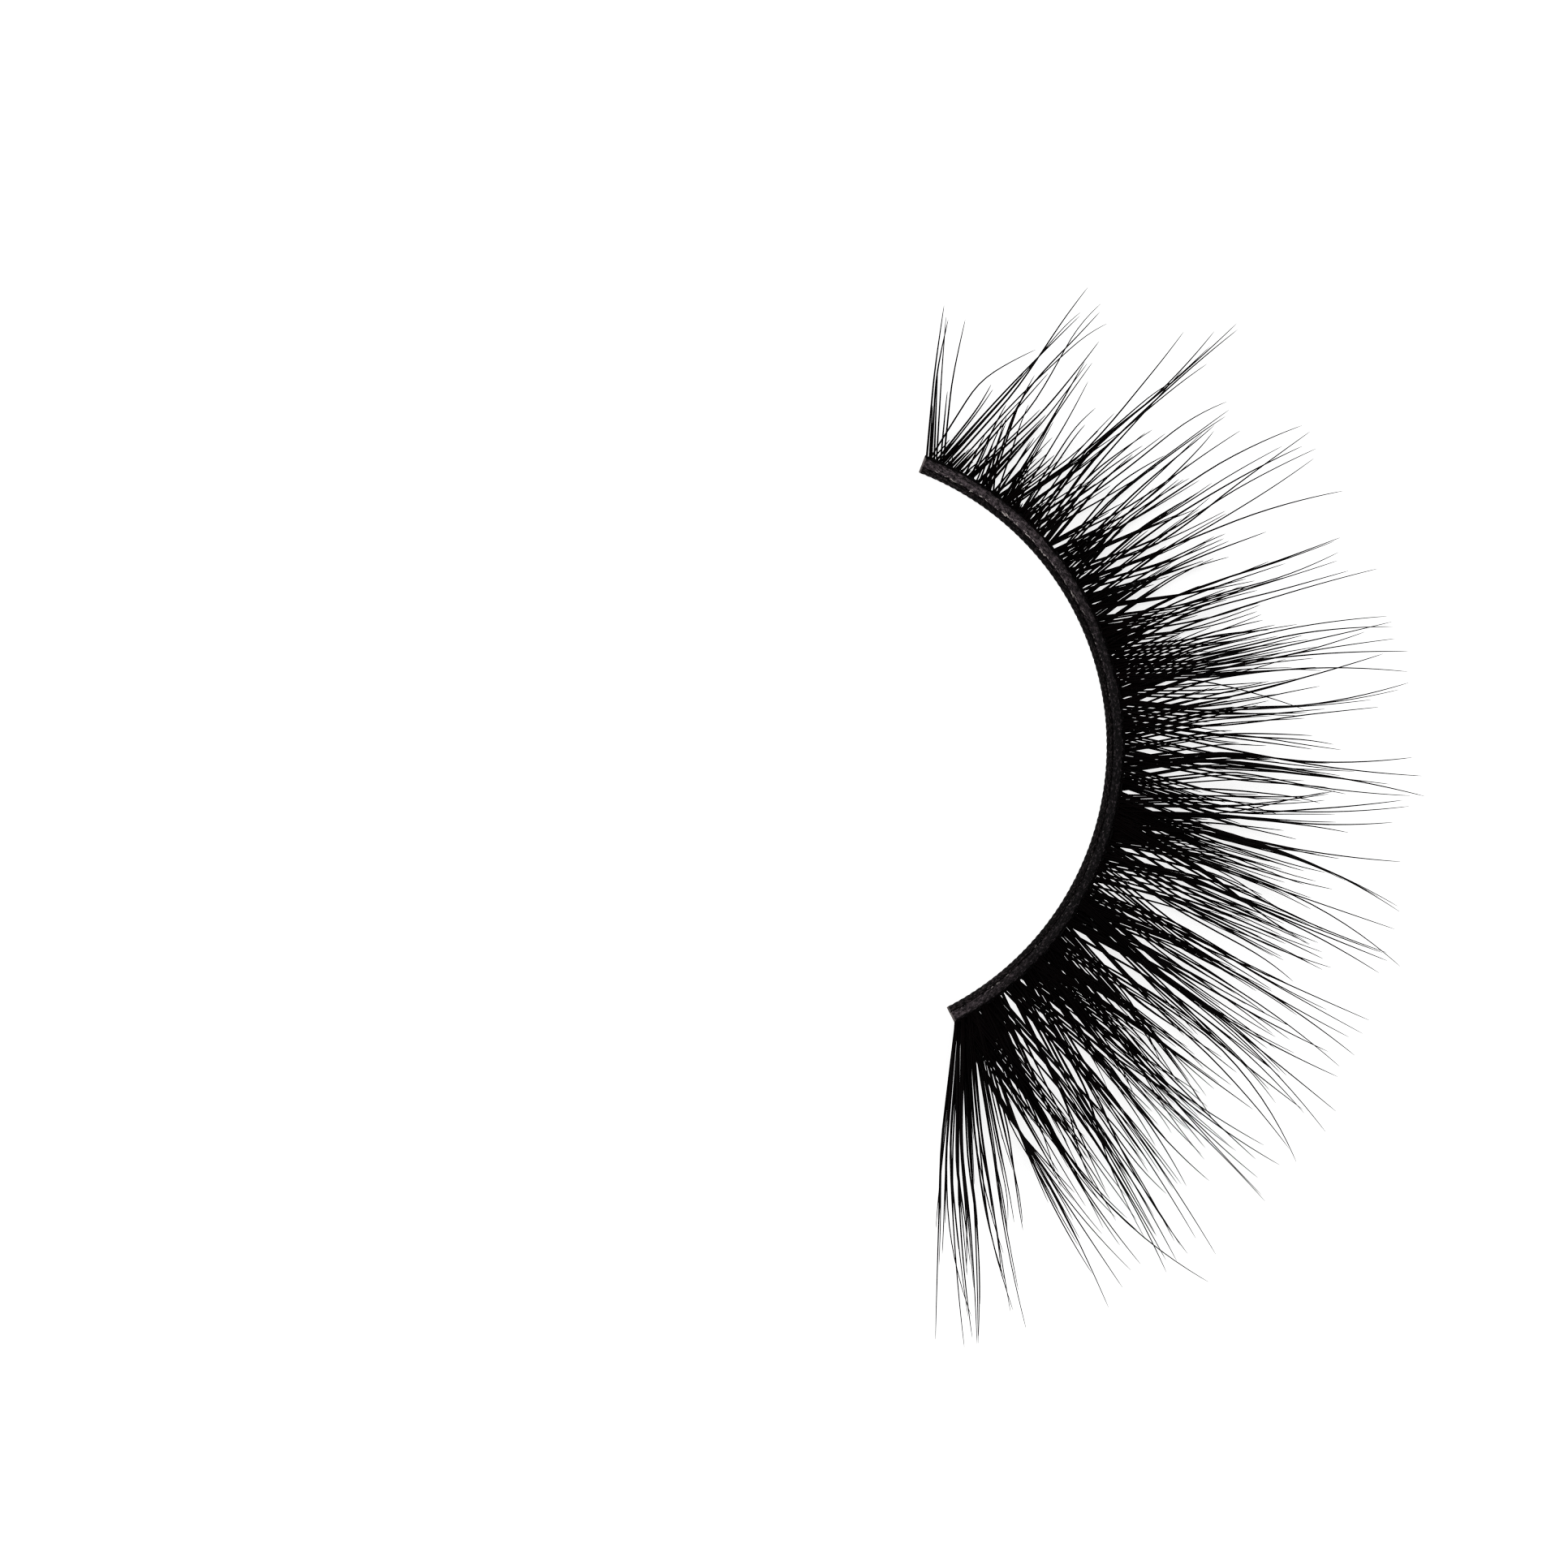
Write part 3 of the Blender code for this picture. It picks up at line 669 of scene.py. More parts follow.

# %% [markdown]
# ## The tufts
# Seen from above, the lashes gather into tufts. The hairs of a tuft start side by side
# along a stretch of the band, draw together about a third of the way out, and then run
# on almost straight. Most of them end before two thirds of the way. A few long ones go
# on to the tips, and those are what the eye reads as the outline.
#
# So each row of the chart is one tuft: where its roots start and stop along the band,
# where its hairs pass 30 and 55 per cent of the reach, how dense it looks, as a number of
# hairs, and the tips of its long hairs as pairs of place and reach. The rows were read
# off from the photograph, laid out flat along the band.

# %% Chart of the tufts
Tuft = namedtuple("Tuft", "layer first last low mid hairs tips")
LOWER, MIDDLE, UPPER = range(3)
TUFTS = [Tuft(*row) for row in (
    (LOWER, 0.1, 1.6, -2.0, -4.0, 8, ((-3.2, 47), (-2.4, 43.5), (-2.8, 44))),
    (MIDDLE, 1.0, 2.6, -0.1, -1.4, 5, ((-0.8, 45),)),
    (UPPER, 1.0, 1.2, 2.4, 8.0, 0, ((6.0, 45.5),)),
    (LOWER, 2.4, 3.2, 3.9, 5.6, 0, ((3.9, 31), (4.4, 30))),
    (MIDDLE, 1.4, 3.8, 2.8, 2.9, 22, ((2.9, 15), (2.6, 12))),
    (MIDDLE, 2.2, 5.5, 5.9, 7.3, 9, ((7.4, 68), (7.8, 61), (8.0, 60))),
    (LOWER, 4.2, 8.2, 6.6, 6.8, 36, ((6.8, 28), (6.6, 25))),
    (UPPER, 4.5, 9.5, 7.4, 8.4, 26, ((8.9, 66), (9.3, 64), (10.1, 62.5))),
    (LOWER, 6.4, 9.4, 7.9, 8.0, 14, ((8.0, 19), (7.8, 15))),
    (LOWER, 7.5, 10.0, 10.6, 10.8, 38, ((10.7, 57), (11.0, 50))),
    (MIDDLE, 11.2, 13.0, 11.4, 10.9, 28, ((11.4, 51), (10.8, 50))),
    (UPPER, 11.0, 13.6, 12.4, 12.4, 16, ((12.6, 20), (12.2, 16))),
    (LOWER, 11.5, 14.5, 13.9, 15.2, 20, ((14.5, 41.5), (14.6, 36))),
    (MIDDLE, 12.4, 15.0, 13.6, 13.7, 26, ((13.8, 20), (13.4, 16))),
    (UPPER, 12.5, 15.0, 13.0, 11.4, 12, ((12.2, 46),)),
    (UPPER, 13.6, 16.4, 14.9, 14.9, 24, ((14.9, 25), (14.7, 22))),
    (MIDDLE, 12.6, 16.0, 16.1, 16.4, 14, ((15.8, 74), (17.7, 62))),
    (UPPER, 14.5, 18.0, 17.0, 17.9, 22, ((18.2, 86), (17.5, 80), (18.0, 76), (18.5, 85), (18.7, 72))),
    (LOWER, 17.5, 20.5, 18.3, 17.8, 10, ((17.8, 66),)),
    (MIDDLE, 17.0, 20.5, 19.1, 20.1, 16, ((19.8, 48), (19.4, 46), (20.0, 43))),
    (UPPER, 18.6, 21.3, 20.2, 21.0, 14, ((21.9, 69), (20.7, 50))),
    (LOWER, 19.5, 21.3, 21.2, 22.8, 5, ((22.1, 46),)),
    (LOWER, 21.0, 23.2, 22.3, 22.6, 9, ((22.7, 68), (22.9, 66))),
    (MIDDLE, 22.5, 26.0, 23.7, 22.8, 14, ((23.0, 62), (22.9, 58))),
    (UPPER, 22.5, 26.5, 24.4, 24.4, 18, ((24.2, 50), (23.5, 61), (24.6, 67))),
    (LOWER, 23.5, 27.0, 25.2, 25.7, 22, ((26.9, 82), (25.2, 46), (25.0, 45))),
    (MIDDLE, 25.0, 27.5, 26.8, 27.2, 13, ((27.5, 74), (26.9, 52))),
    (UPPER, 25.5, 28.5, 27.5, 27.9, 12, ((28.3, 79),)),
    (LOWER, 26.6, 30.0, 28.7, 28.5, 18, ((27.8, 83), (29.0, 82))),
    (MIDDLE, 28.0, 31.0, 30.1, 30.3, 15, ((29.7, 80),)),
    (UPPER, 28.0, 30.5, 29.6, 30.8, 5, ((32.6, 83), (29.7, 51), (29.9, 51))),
    (UPPER, 30.0, 33.0, 31.8, 31.6, 18, ((31.7, 48), (31.5, 45), (31.9, 47))),
    (LOWER, 31.0, 33.5, 32.5, 33.2, 9, ((33.1, 58.5), (32.5, 48))),
    (MIDDLE, 32.0, 34.2, 32.2, 31.4, 10, ((31.8, 42),)),
    (UPPER, 31.6, 35.6, 35.1, 35.9, 22, ((36.0, 75), (35.9, 77))),
    (LOWER, 31.6, 34.6, 33.2, 33.6, 20, ((33.8, 46), (33.3, 42))),
    (LOWER, 35.0, 38.0, 36.0, 36.0, 15, ((36.2, 60), (35.7, 56))),
    (MIDDLE, 34.5, 37.6, 36.9, 37.2, 20, ((37.0, 75), (37.5, 74), (37.3, 58))),
    (UPPER, 36.0, 39.0, 37.5, 37.9, 9, ((38.5, 76),)),
    (MIDDLE, 35.6, 38.8, 37.2, 37.3, 22, ((37.6, 50), (37.0, 46))),
    (LOWER, 37.6, 40.4, 39.2, 39.3, 20, ((39.4, 48), (39.0, 44))),
    (LOWER, 37.0, 39.7, 38.7, 38.8, 12, ((39.0, 84),)),
    (MIDDLE, 38.0, 41.0, 39.7, 39.9, 16, ((39.6, 49), (40.3, 49))),
    (UPPER, 38.5, 42.0, 41.0, 41.7, 20, ((42.5, 83), (41.1, 52), (41.5, 58))),
    (LOWER, 39.5, 43.5, 41.9, 42.3, 16, ((43.3, 84), (42.0, 52))),
    (MIDDLE, 41.0, 44.0, 42.8, 43.1, 18, ((43.1, 84), (43.0, 60))),
    (LOWER, 41.5, 45.0, 43.6, 44.1, 20, ((44.3, 84), (45.3, 87), (43.8, 62))),
    (UPPER, 44.0, 46.5, 44.7, 44.3, 9, ((43.5, 76),)),
    (UPPER, 43.0, 46.0, 44.4, 45.2, 15, ((46.7, 86), (45.7, 62), (45.5, 58))),
    (MIDDLE, 44.5, 47.5, 46.0, 45.9, 11, ((45.9, 47), (46.2, 46))),
    (MIDDLE, 45.5, 48.5, 47.1, 46.5, 9, ((45.4, 80),)),
    (UPPER, 46.5, 49.0, 47.8, 47.4, 14, ((47.2, 61), (47.5, 50))),
    (LOWER, 43.6, 43.9, 44.8, 48.8, 0, ((48.9, 56),)),
    (LOWER, 47.0, 50.5, 48.6, 48.8, 24, ((48.2, 83), (47.8, 86), (48.7, 75))),
    (UPPER, 49.0, 52.0, 50.0, 49.7, 13, ((49.3, 77), (49.8, 56))),
    (MIDDLE, 48.0, 51.0, 50.5, 51.6, 13, ((52.0, 64), (51.3, 58))),
    (MIDDLE, 49.6, 53.0, 51.5, 52.3, 15, ((52.5, 66), (52.6, 58))),
    (UPPER, 50.6, 54.2, 53.0, 53.9, 26, ((53.2, 86), (54.4, 89))),
    (LOWER, 52.5, 56.0, 54.1, 54.5, 28, ((55.7, 90), (55.1, 80), (54.3, 70))),
    (MIDDLE, 54.0, 57.5, 55.3, 55.7, 20, ((55.9, 86), (56.1, 68), (55.4, 56))),
    (LOWER, 56.4, 58.5, 57.1, 56.7, 11, ((56.2, 65), (57.0, 61), (57.2, 56))),
    (UPPER, 58.5, 61.5, 59.2, 58.2, 16, ((56.4, 84), (56.8, 86))),
    (MIDDLE, 60.0, 62.5, 59.7, 59.2, 9, ((58.1, 82), (59.2, 70))),
    (LOWER, 55.6, 58.8, 58.1, 58.9, 9, ((58.7, 46),)),
    (UPPER, 55.8, 59.6, 57.9, 58.2, 24, ((58.6, 50), (58.0, 47))),
    (LOWER, 58.6, 62.0, 60.2, 60.4, 26, ((60.6, 56), (60.0, 52))),
    (LOWER, 58.5, 62.2, 61.3, 61.9, 28, ((64.0, 89), (63.7, 88), (63.4, 82))),
    (UPPER, 61.0, 63.5, 61.8, 61.5, 9, ((60.8, 86), (61.5, 60))),
    (MIDDLE, 60.5, 64.0, 62.5, 62.6, 14, ((62.8, 66), (63.1, 60))),
    (MIDDLE, 62.0, 65.0, 63.5, 63.8, 13, ((63.7, 64), (64.2, 61))),
    (MIDDLE, 61.6, 64.6, 63.0, 63.3, 22, ((63.4, 54), (63.0, 50))),
    (UPPER, 63.5, 66.0, 64.3, 64.5, 8, ((64.0, 69), (63.9, 52))),
    (LOWER, 61.6, 65.0, 64.5, 65.1, 13, ((65.5, 89), (67.6, 94))),
    (UPPER, 62.0, 66.6, 65.8, 66.8, 32, ((67.3, 89), (67.2, 70))),
    (MIDDLE, 65.0, 68.5, 67.2, 67.5, 20, ((67.8, 90), (68.7, 89), (67.4, 88))),
    (LOWER, 66.8, 70.0, 68.2, 68.3, 18, ((68.4, 70), (68.7, 68))),
    (UPPER, 68.0, 71.0, 69.4, 69.1, 11, ((69.0, 72), (69.4, 73))),
    (LOWER, 67.6, 70.8, 70.0, 70.1, 24, ((69.9, 76), (70.2, 74), (70.1, 70), (70.6, 62))),
    (MIDDLE, 68.6, 69.0, 70.6, 71.6, 0, ((71.9, 68),)),
    (UPPER, 69.5, 73.4, 72.4, 72.7, 19, ((72.2, 92), (73.2, 92), (72.9, 80))),
    (UPPER, 71.5, 75.2, 73.6, 73.7, 30, ((73.9, 89), (74.7, 93), (73.6, 64))),
    (MIDDLE, 73.4, 76.0, 74.8, 74.9, 12, ((75.9, 91),)),
    (LOWER, 74.0, 77.0, 76.0, 76.1, 22, ((76.2, 75), (75.6, 86), (76.5, 70))),
    (MIDDLE, 75.5, 77.5, 76.7, 77.1, 8, ((77.4, 73),)),
    (UPPER, 75.4, 78.4, 77.4, 77.8, 30, ((76.8, 92), (80.1, 98), (78.7, 97))),
    (LOWER, 76.2, 78.6, 78.2, 78.6, 9, ((80.0, 90), (78.9, 75))),
    (MIDDLE, 76.6, 79.8, 78.9, 79.7, 15, ((82.8, 97), (80.0, 89))),
    (LOWER, 78.0, 81.5, 80.2, 80.8, 18, ((82.6, 93), (80.8, 68))),
    (UPPER, 80.5, 83.0, 80.9, 80.7, 9, ((80.6, 62),)),
    (MIDDLE, 81.0, 84.5, 82.3, 82.0, 16, ((81.9, 69), (82.1, 60))),
    (UPPER, 83.0, 86.0, 83.4, 82.7, 14, ((82.3, 78), (83.0, 66))),
    (LOWER, 79.5, 83.0, 82.0, 83.7, 16, ((84.8, 72), (84.4, 66))),
    (UPPER, 81.5, 85.0, 83.9, 84.9, 16, ((84.9, 88), (84.5, 68))),
    (MIDDLE, 85.0, 88.5, 86.2, 85.5, 18, ((84.2, 94), (83.9, 87), (84.9, 72))),
    (MIDDLE, 83.0, 86.5, 84.9, 85.9, 20, ((86.4, 96), (85.8, 92))),
    (LOWER, 86.5, 89.5, 87.3, 86.7, 15, ((86.5, 98), (86.4, 75))),
    (UPPER, 85.0, 88.0, 86.9, 87.6, 17, ((87.5, 76), (87.9, 66))),
    (LOWER, 86.0, 89.5, 88.2, 88.6, 20, ((88.5, 83), (89.8, 80), (88.7, 66))),
    (UPPER, 87.5, 90.6, 89.7, 90.1, 18, ((91.3, 100), (90.3, 78))),
    (MIDDLE, 89.0, 91.5, 90.3, 90.6, 12, ((91.7, 93),)),
    (MIDDLE, 88.6, 92.0, 91.2, 91.8, 20, ((92.9, 95), (93.0, 90), (91.6, 78))),
    (LOWER, 89.8, 93.0, 92.2, 92.6, 15, ((93.7, 95), (92.9, 92))),
    (UPPER, 90.8, 94.0, 93.2, 93.6, 13, ((94.7, 96), (94.3, 93))),
    (LOWER, 92.8, 96.0, 94.5, 94.7, 20, ((94.5, 79),)),
    (UPPER, 93.5, 97.0, 95.3, 95.4, 26, ((95.8, 76), (95.3, 70))),
    (MIDDLE, 94.5, 98.0, 96.4, 96.6, 34, ((96.9, 76), (96.1, 90), (93.2, 105))),
    (UPPER, 96.0, 99.2, 97.4, 97.1, 21, ((97.3, 68),)),
    (LOWER, 97.0, 99.6, 98.9, 98.6, 20, ((97.0, 90), (98.0, 93))),
    (MIDDLE, 97.4, 99.6, 99.2, 98.95, 14, ((99.4, 96),)),
    (MIDDLE, 96.2, 99.4, 98.1, 98.0, 12, ((98.2, 60), (97.8, 56))),
    (UPPER, 95.6, 96.6, 99.6, 101.6, 10, ((102.6, 66), (102.3, 64))),
    (MIDDLE, 96.2, 97.2, 100.4, 102.6, 10, ((103.0, 63), (103.3, 62))),
    (LOWER, 96.8, 97.6, 101.2, 103.4, 10, ((105.2, 92), (103.9, 66))),
    (UPPER, 97.2, 98.0, 102.0, 104.2, 10, ((105.8, 86), (105.5, 76))),
    (MIDDLE, 97.6, 98.4, 102.8, 105.0, 10, ((105.7, 86), (104.9, 70))),
    (LOWER, 98.0, 98.8, 103.5, 105.7, 10, ((108.6, 92), (108.4, 90))),
    (UPPER, 98.4, 99.1, 104.2, 106.4, 10, ((108.7, 92), (108.0, 72))),
    (MIDDLE, 98.7, 99.4, 104.8, 107.2, 10, ((109.0, 90), (107.6, 70))),
    (LOWER, 99.0, 99.6, 105.3, 107.9, 10, ((109.7, 92), (108.9, 84))),
    (UPPER, 99.3, 99.8, 105.7, 108.6, 5, ((109.5, 65), (108.8, 84))),
    (MIDDLE, 99.5, 99.9, 106.1, 109.2, 5, ((111.5, 88), (110.0, 68))),
)]
print(len(TUFTS), "tufts,", sum(t.hairs + len(t.tips) for t in TUFTS), "hairs by the look of them")

# %% [markdown]
# Two smaller charts finish the pattern. Feet are the black wedges of very short hairs at
# the roots. Partings are the white openings, each with its middle and half its width: the
# hairs that would run through one move aside, and so crowd at its edges.

# %% Feet and partings
Foot = namedtuple("Foot", "place spread height")
FEET = [Foot(*row) for row in (
    (16.4, 1.2, 14), (17.6, 1.3, 16), (19.8, 1.3, 18), (24.3, 1.4, 22), (25.6, 1.5, 22),
    (27.8, 1.2, 14), (29.7, 1.2, 17), (32.2, 1.3, 20), (36.4, 1.5, 22), (37.6, 1.5, 18),
    (39.4, 1.3, 16), (41.2, 1.2, 14), (43.6, 1.2, 18), (45.3, 1.2, 12), (48.9, 1.5, 16),
    (50.1, 1.4, 14), (52.4, 1.3, 20), (54.6, 1.4, 24), (57.4, 1.2, 14), (60.8, 1.6, 20),
    (62.4, 1.6, 18), (64.2, 1.5, 20), (67.8, 1.4, 22), (70.2, 1.3, 14), (73.4, 1.7, 24),
    (74.9, 1.5, 20), (76.9, 1.6, 20), (77.6, 1.2, 24), (80.9, 1.2, 16), (84.6, 1.6, 14),
    (86.4, 1.8, 18), (87.6, 1.4, 16), (90.2, 1.3, 20), (94.2, 1.3, 16), (95.6, 1.6, 22),
)]
Parting = namedtuple("Parting", "place reach half")
PARTINGS = [Parting(*row) for row in (
    (10.4, 9.5, 0.45), (9.2, 20, 0.30), (11.6, 18, 0.35), (13.3, 20, 0.30),
    (15.8, 17, 0.40), (16.7, 17, 0.22), (17.8, 21, 0.45), (21.6, 18, 0.70),
    (22.7, 10, 0.30), (26.7, 20, 0.35), (28.8, 19, 0.40), (30.2, 15, 0.35),
    (31.2, 19, 0.30), (34.0, 12, 0.40), (34.9, 21, 0.45), (38.0, 19, 0.25),
    (44.6, 20, 0.30), (46.2, 14, 0.35), (51.2, 17, 0.35), (51.9, 24, 0.30),
    (53.0, 14, 0.40), (55.1, 18, 0.30), (56.6, 33, 0.60), (58.6, 8, 0.38),
    (60.3, 17, 0.30), (63.0, 19, 0.20), (66.2, 14, 0.45), (66.5, 24, 0.35),
    (69.5, 15, 0.35), (69.5, 23, 0.30), (71.0, 6, 0.30), (70.9, 20, 0.45),
    (71.3, 32, 0.70), (72.1, 14, 0.25), (75.5, 26, 0.30), (79.0, 13, 0.45),
    (79.2, 31, 0.55), (88.9, 7, 0.30), (89.2, 36, 0.40), (92.0, 12, 0.45),
    (93.8, 25, 0.45), (93.9, 36, 0.40), (98.6, 42, 0.50),
)]
print(len(FEET), "feet and", len(PARTINGS), "partings")

# %% [markdown]
# ## From chart to hairs
# A hair is a row of eight numbers before it is a shape: its layer, the places of its
# root, its waist, its middle and its end, the reach of that end, its own reach, and the
# reach of the waist, where the tuft is tightest. A tuft's longest hairs take the charted
# tips. The rest follow the same course and stop short of it, the shorter the nearer they
# are to the inner corner of the eye, and cross each other where they carry on past the
# waist. A few evenly spaced hairs look as dense as many bunched ones, so only a share of
# the charted number is made.

# %% Hairs of a tuft
ROOT_REACH = 5.0
LOW_REACH = 30.0
MID_REACH = 55.0
LAYER, ROOT, LOW, MID, END, END_REACH, OWN, TIGHTEST = range(8)
GROWTH = (22.0, 82.0)
FOLLOWERS = (0.24, 0.36)
SHORTER_INNER = np.array((0.36, 0.64))
SHORTER_OUTER = np.array((0.52, 0.92))
ROOT_FAN = 1.8
FLANK = (0.25, 1.15)
NARROW = 1.7
LATER_FROM = 60.0
LATER = 0.22
WAIST_JITTER = 6
BELOW_TIP = 0.92
WAIST = 0.30
OPENER = 0.4
OPENS_BEFORE = 14.0
CARRY = (0.0, 0.35)
CARRY_TO_END = 1.5
NEAREST_TIP = 12.0
CHARTED_FROM, STRAIGHT_UNTIL = 95.0, 55.0
LEAST_STRAIGHT = 0.15
TIP_FADE = 1.03
SHORT_TIP = 60.0
SHORT_END = 70.0
WAIST_STRAY, MID_STRAY, END_STRAY = 0.05, 0.07, 0.15
HAIR_SEED = 27

rng = np.random.default_rng(HAIR_SEED)


def strands_of(tuft):
    """One row for each hair of a tuft, in the order of the columns above.

    Hairs start on the left and right flank of the tuft's stretch in turn, and so lean both
    ways. They carry on past the waist the way they lean, by a share of their lean which the
    whole tuft has in common. A short hair's middle lies on the straight line from waist to
    tip, and a long one's near the charted middle.
    """
    centre = (tuft.first + tuft.last) / 2
    half = ROOT_FAN * (tuft.last - tuft.first) / 2
    outward = min(max((centre - GROWTH[0]) / (GROWTH[1] - GROWTH[0]), 0.0), 1.0)
    followers = FOLLOWERS[0] + outward * (FOLLOWERS[1] - FOLLOWERS[0])
    shortest, longest = SHORTER_INNER + outward * (SHORTER_OUTER - SHORTER_INNER)
    count = round(tuft.hairs * followers) + len(tuft.tips)
    number = np.arange(count)
    side = 1.0 if rng.uniform() < 0.5 else -1.0
    flank = np.where(number % 2, side, -side)
    within = FLANK[0] + (FLANK[1] - FLANK[0]) * (number // 2 + 0.5) / max((count + 1) // 2, 1)
    roots = centre + half * flank * within
    if tuft.last - tuft.first < NARROW:
        roots = np.linspace(tuft.first, tuft.last, count + 2)[1:-1]
        flank = np.zeros(count)
    aside = roots - centre - flank * half * sum(FLANK) / 2
    waist = LOW_REACH + LATER * max(centre - LATER_FROM, 0.0) + rng.uniform(-WAIST_JITTER, WAIST_JITTER)
    tightest = min(waist, BELOW_TIP * max(reach for _, reach in tuft.tips))
    low = tuft.low + (tuft.mid - tuft.low) * max(tightest - LOW_REACH, 0.0) / (MID_REACH - LOW_REACH)
    width = WAIST + OPENER * max(1.0 - centre / OPENS_BEFORE, 0.0)
    low = low + width * aside + rng.normal(0, WAIST_STRAY, count)
    carry = rng.uniform(*CARRY) if flank.any() else 0.0
    long_ones = ((np.arange(len(tuft.tips)) + 0.5) * count / len(tuft.tips)).astype(int).tolist()
    rows = []
    for k in range(count):
        is_long = k in long_ones
        end, reach = tuft.tips[long_ones.index(k) if is_long else k % len(tuft.tips)]
        further = max(reach - LOW_REACH, NEAREST_TIP)
        straight = tuft.low + (end - tuft.low) * (MID_REACH - LOW_REACH) / further
        blend = min(max((CHARTED_FROM - reach) / (CHARTED_FROM - STRAIGHT_UNTIL), LEAST_STRAIGHT), 1.0)
        mid = tuft.mid + blend * (straight - tuft.mid)
        own = reach * TIP_FADE
        if reach < SHORT_TIP:
            end = mid + (SHORT_END - MID_REACH) / (MID_REACH - LOW_REACH) * (mid - tuft.low)
            reach = SHORT_END
        if not is_long:
            own *= rng.uniform(shortest, longest)
            lean = carry * (low[k] - roots[k])
            mid += lean
            end += CARRY_TO_END * lean + rng.normal(0, END_STRAY)
        rows.append((tuft.layer, roots[k], low[k], mid + rng.normal(0, MID_STRAY), end, reach, own, tightest))
    return rows


# %% Hairs of a foot
FOOT_HAIRS = 6
FOOT_WAIST = 0.15
FOOT_CARRY = 0.3
FOOT_END = 80
FOOT_LENGTHS = (0.65, 1.15)
FOOT_STRAY = 0.08


def strands_of_foot(number, foot):
    """Rows of the same form for a foot: short hairs from both sides that end at about its height."""
    aside = np.linspace(-1.0, 1.0, FOOT_HAIRS)
    root = foot.place + foot.spread * aside + rng.normal(0, FOOT_STRAY, FOOT_HAIRS)
    low = foot.place + FOOT_WAIST * foot.spread * aside
    mid = low + FOOT_CARRY * (low - root)
    own = foot.height * rng.uniform(*FOOT_LENGTHS, FOOT_HAIRS)
    same = np.ones(FOOT_HAIRS)
    layer = number % 3 * same
    columns = (layer, root, low, mid, mid + (mid - low), FOOT_END * same, own, foot.height * same)
    return np.stack(columns, axis=1)


# %% [markdown]
# Charted one by one, the roots come out uneven, and a hair too near the band's end would hang
# in the air. So the rows are evened out before they are parted. A root past an end is
# folded back, because holding it at the end would pile up a thick black line there.

# %% Evening out and parting
EVENING_ROUNDS = 25
EDGE = 0.15
CLUMPING = ((ROOT, 0.75), (LOW, 0.45))
CLUMP_WAVES = ((0.2, 0.61), (0.15, 1.7))
CLUMP_STRAY = 0.03
BEFORE_PARTING = 4
EDGE_STRAY = 0.12
MID_PUSH = 0.3


def looseness(tight, middle):
    """How far apart a clump's hairs stay: tight, looser near the inner end, plus two sines of the place."""
    opened = tight + OPENER * np.clip(1 - middle / OPENS_BEFORE, 0, 1)
    for height, pace in CLUMP_WAVES:
        opened = opened + height * np.sin(pace * middle)
    return opened


def even_out(rows):
    """Spaces the roots of each of the two leans evenly, and lets no hair cross another of its own lean.

    Each round adds a quarter of (left - 2 root + right), which takes a root half-way to the
    middle of its neighbours. Then hairs clump two and two, tighter at the waist than at the
    root and more in some stretches than in others, which leaves clean white cells between.
    """
    rows = rows[np.argsort(rows[:, LOW])]
    for leaning in (rows[:, ROOT] < rows[:, LOW], rows[:, ROOT] >= rows[:, LOW]):
        folded = EDGE + np.abs(rows[leaning, ROOT] - EDGE)
        roots = np.sort(100 - EDGE - np.abs(100 - EDGE - folded))
        for _ in range(EVENING_ROUNDS):
            roots[1:-1] += 0.25 * (roots[:-2] - 2 * roots[1:-1] + roots[2:])
        rows[leaning, ROOT] = roots
        for column, tight in CLUMPING:
            places = rows[leaning, column]
            paired = len(places) // 2 * 2
            pairs = places[:paired].reshape(-1, 2)
            middle = pairs.mean(axis=1, keepdims=True)
            places[:paired] = (middle + looseness(tight, middle) * (pairs - middle)).ravel()
            rows[leaning, column] = places + rng.normal(0, CLUMP_STRAY, len(places))
    return rows


def part(rows):
    """Moves the hairs that cross a parting to its nearer edge, by shifting the columns around it."""
    for parting in PARTINGS:
        tightest = rows[:, TIGHTEST]
        below = np.clip((parting.reach - ROOT_REACH) / (tightest - ROOT_REACH), 0, 1)
        above = np.clip((parting.reach - tightest) / (MID_REACH - tightest), 0, 1)
        at_waist = rows[:, ROOT] + below * (rows[:, LOW] - rows[:, ROOT])
        off = at_waist + above * (rows[:, MID] - rows[:, LOW]) - parting.place
        inside = (np.abs(off) < parting.half) & (rows[:, OWN] > parting.reach - BEFORE_PARTING)
        to_edge = np.sign(off) * (parting.half + rng.uniform(0, EDGE_STRAY, len(rows)))
        push = np.where(inside, to_edge - off, 0.0)
        rows[:, ROOT] += push * (1 - above)
        rows[:, LOW] += push
        rows[:, MID] += push * (MID_PUSH + (1 - MID_PUSH) * above)
    rows[:, ROOT] = np.clip(rows[:, ROOT], EDGE, 100 - EDGE)
    return rows


rows = even_out(np.array([row for tuft in TUFTS for row in strands_of(tuft)]))
rows = np.concatenate([rows, *(strands_of_foot(number, foot) for number, foot in enumerate(FEET))])
rows = part(rows)
print(len(rows), "hairs, roots", round(200.0 / len(rows), 2), "per cent apart in each lean")

# %% [markdown]
# A path is laid out on the flat plan first: straight from the root to the waist, on to
# the middle, and on to the tip. Each leg sets off a little the way the one before it ran,
# and the whole is averaged over a short stretch, which rounds the corners the way a
# springy hair does. Height comes after. Each layer leaves the band at its own slope and
# curls up with the cube of the distance, which is how the solids were made. A point that
# stands higher looks further from the middle of the view, so each is drawn in by as much,
# and the chart holds in the camera.

# %% Paths on the flat plan
STATIONS = 17
STATION_POWER = 1.35
SMOOTHING = 9.0
SMOOTHING_STEPS = 9
LEAST_WEIGHT = 0.05
SWEEP = (0.25, 0.7)


def station_shares(stations):
    """Shares of a hair's length from 0 to 1, closer towards the tip: 1 - (1 - even share) to a power."""
    return 1 - (1 - np.linspace(0, 1, stations)[None, :]) ** STATION_POWER


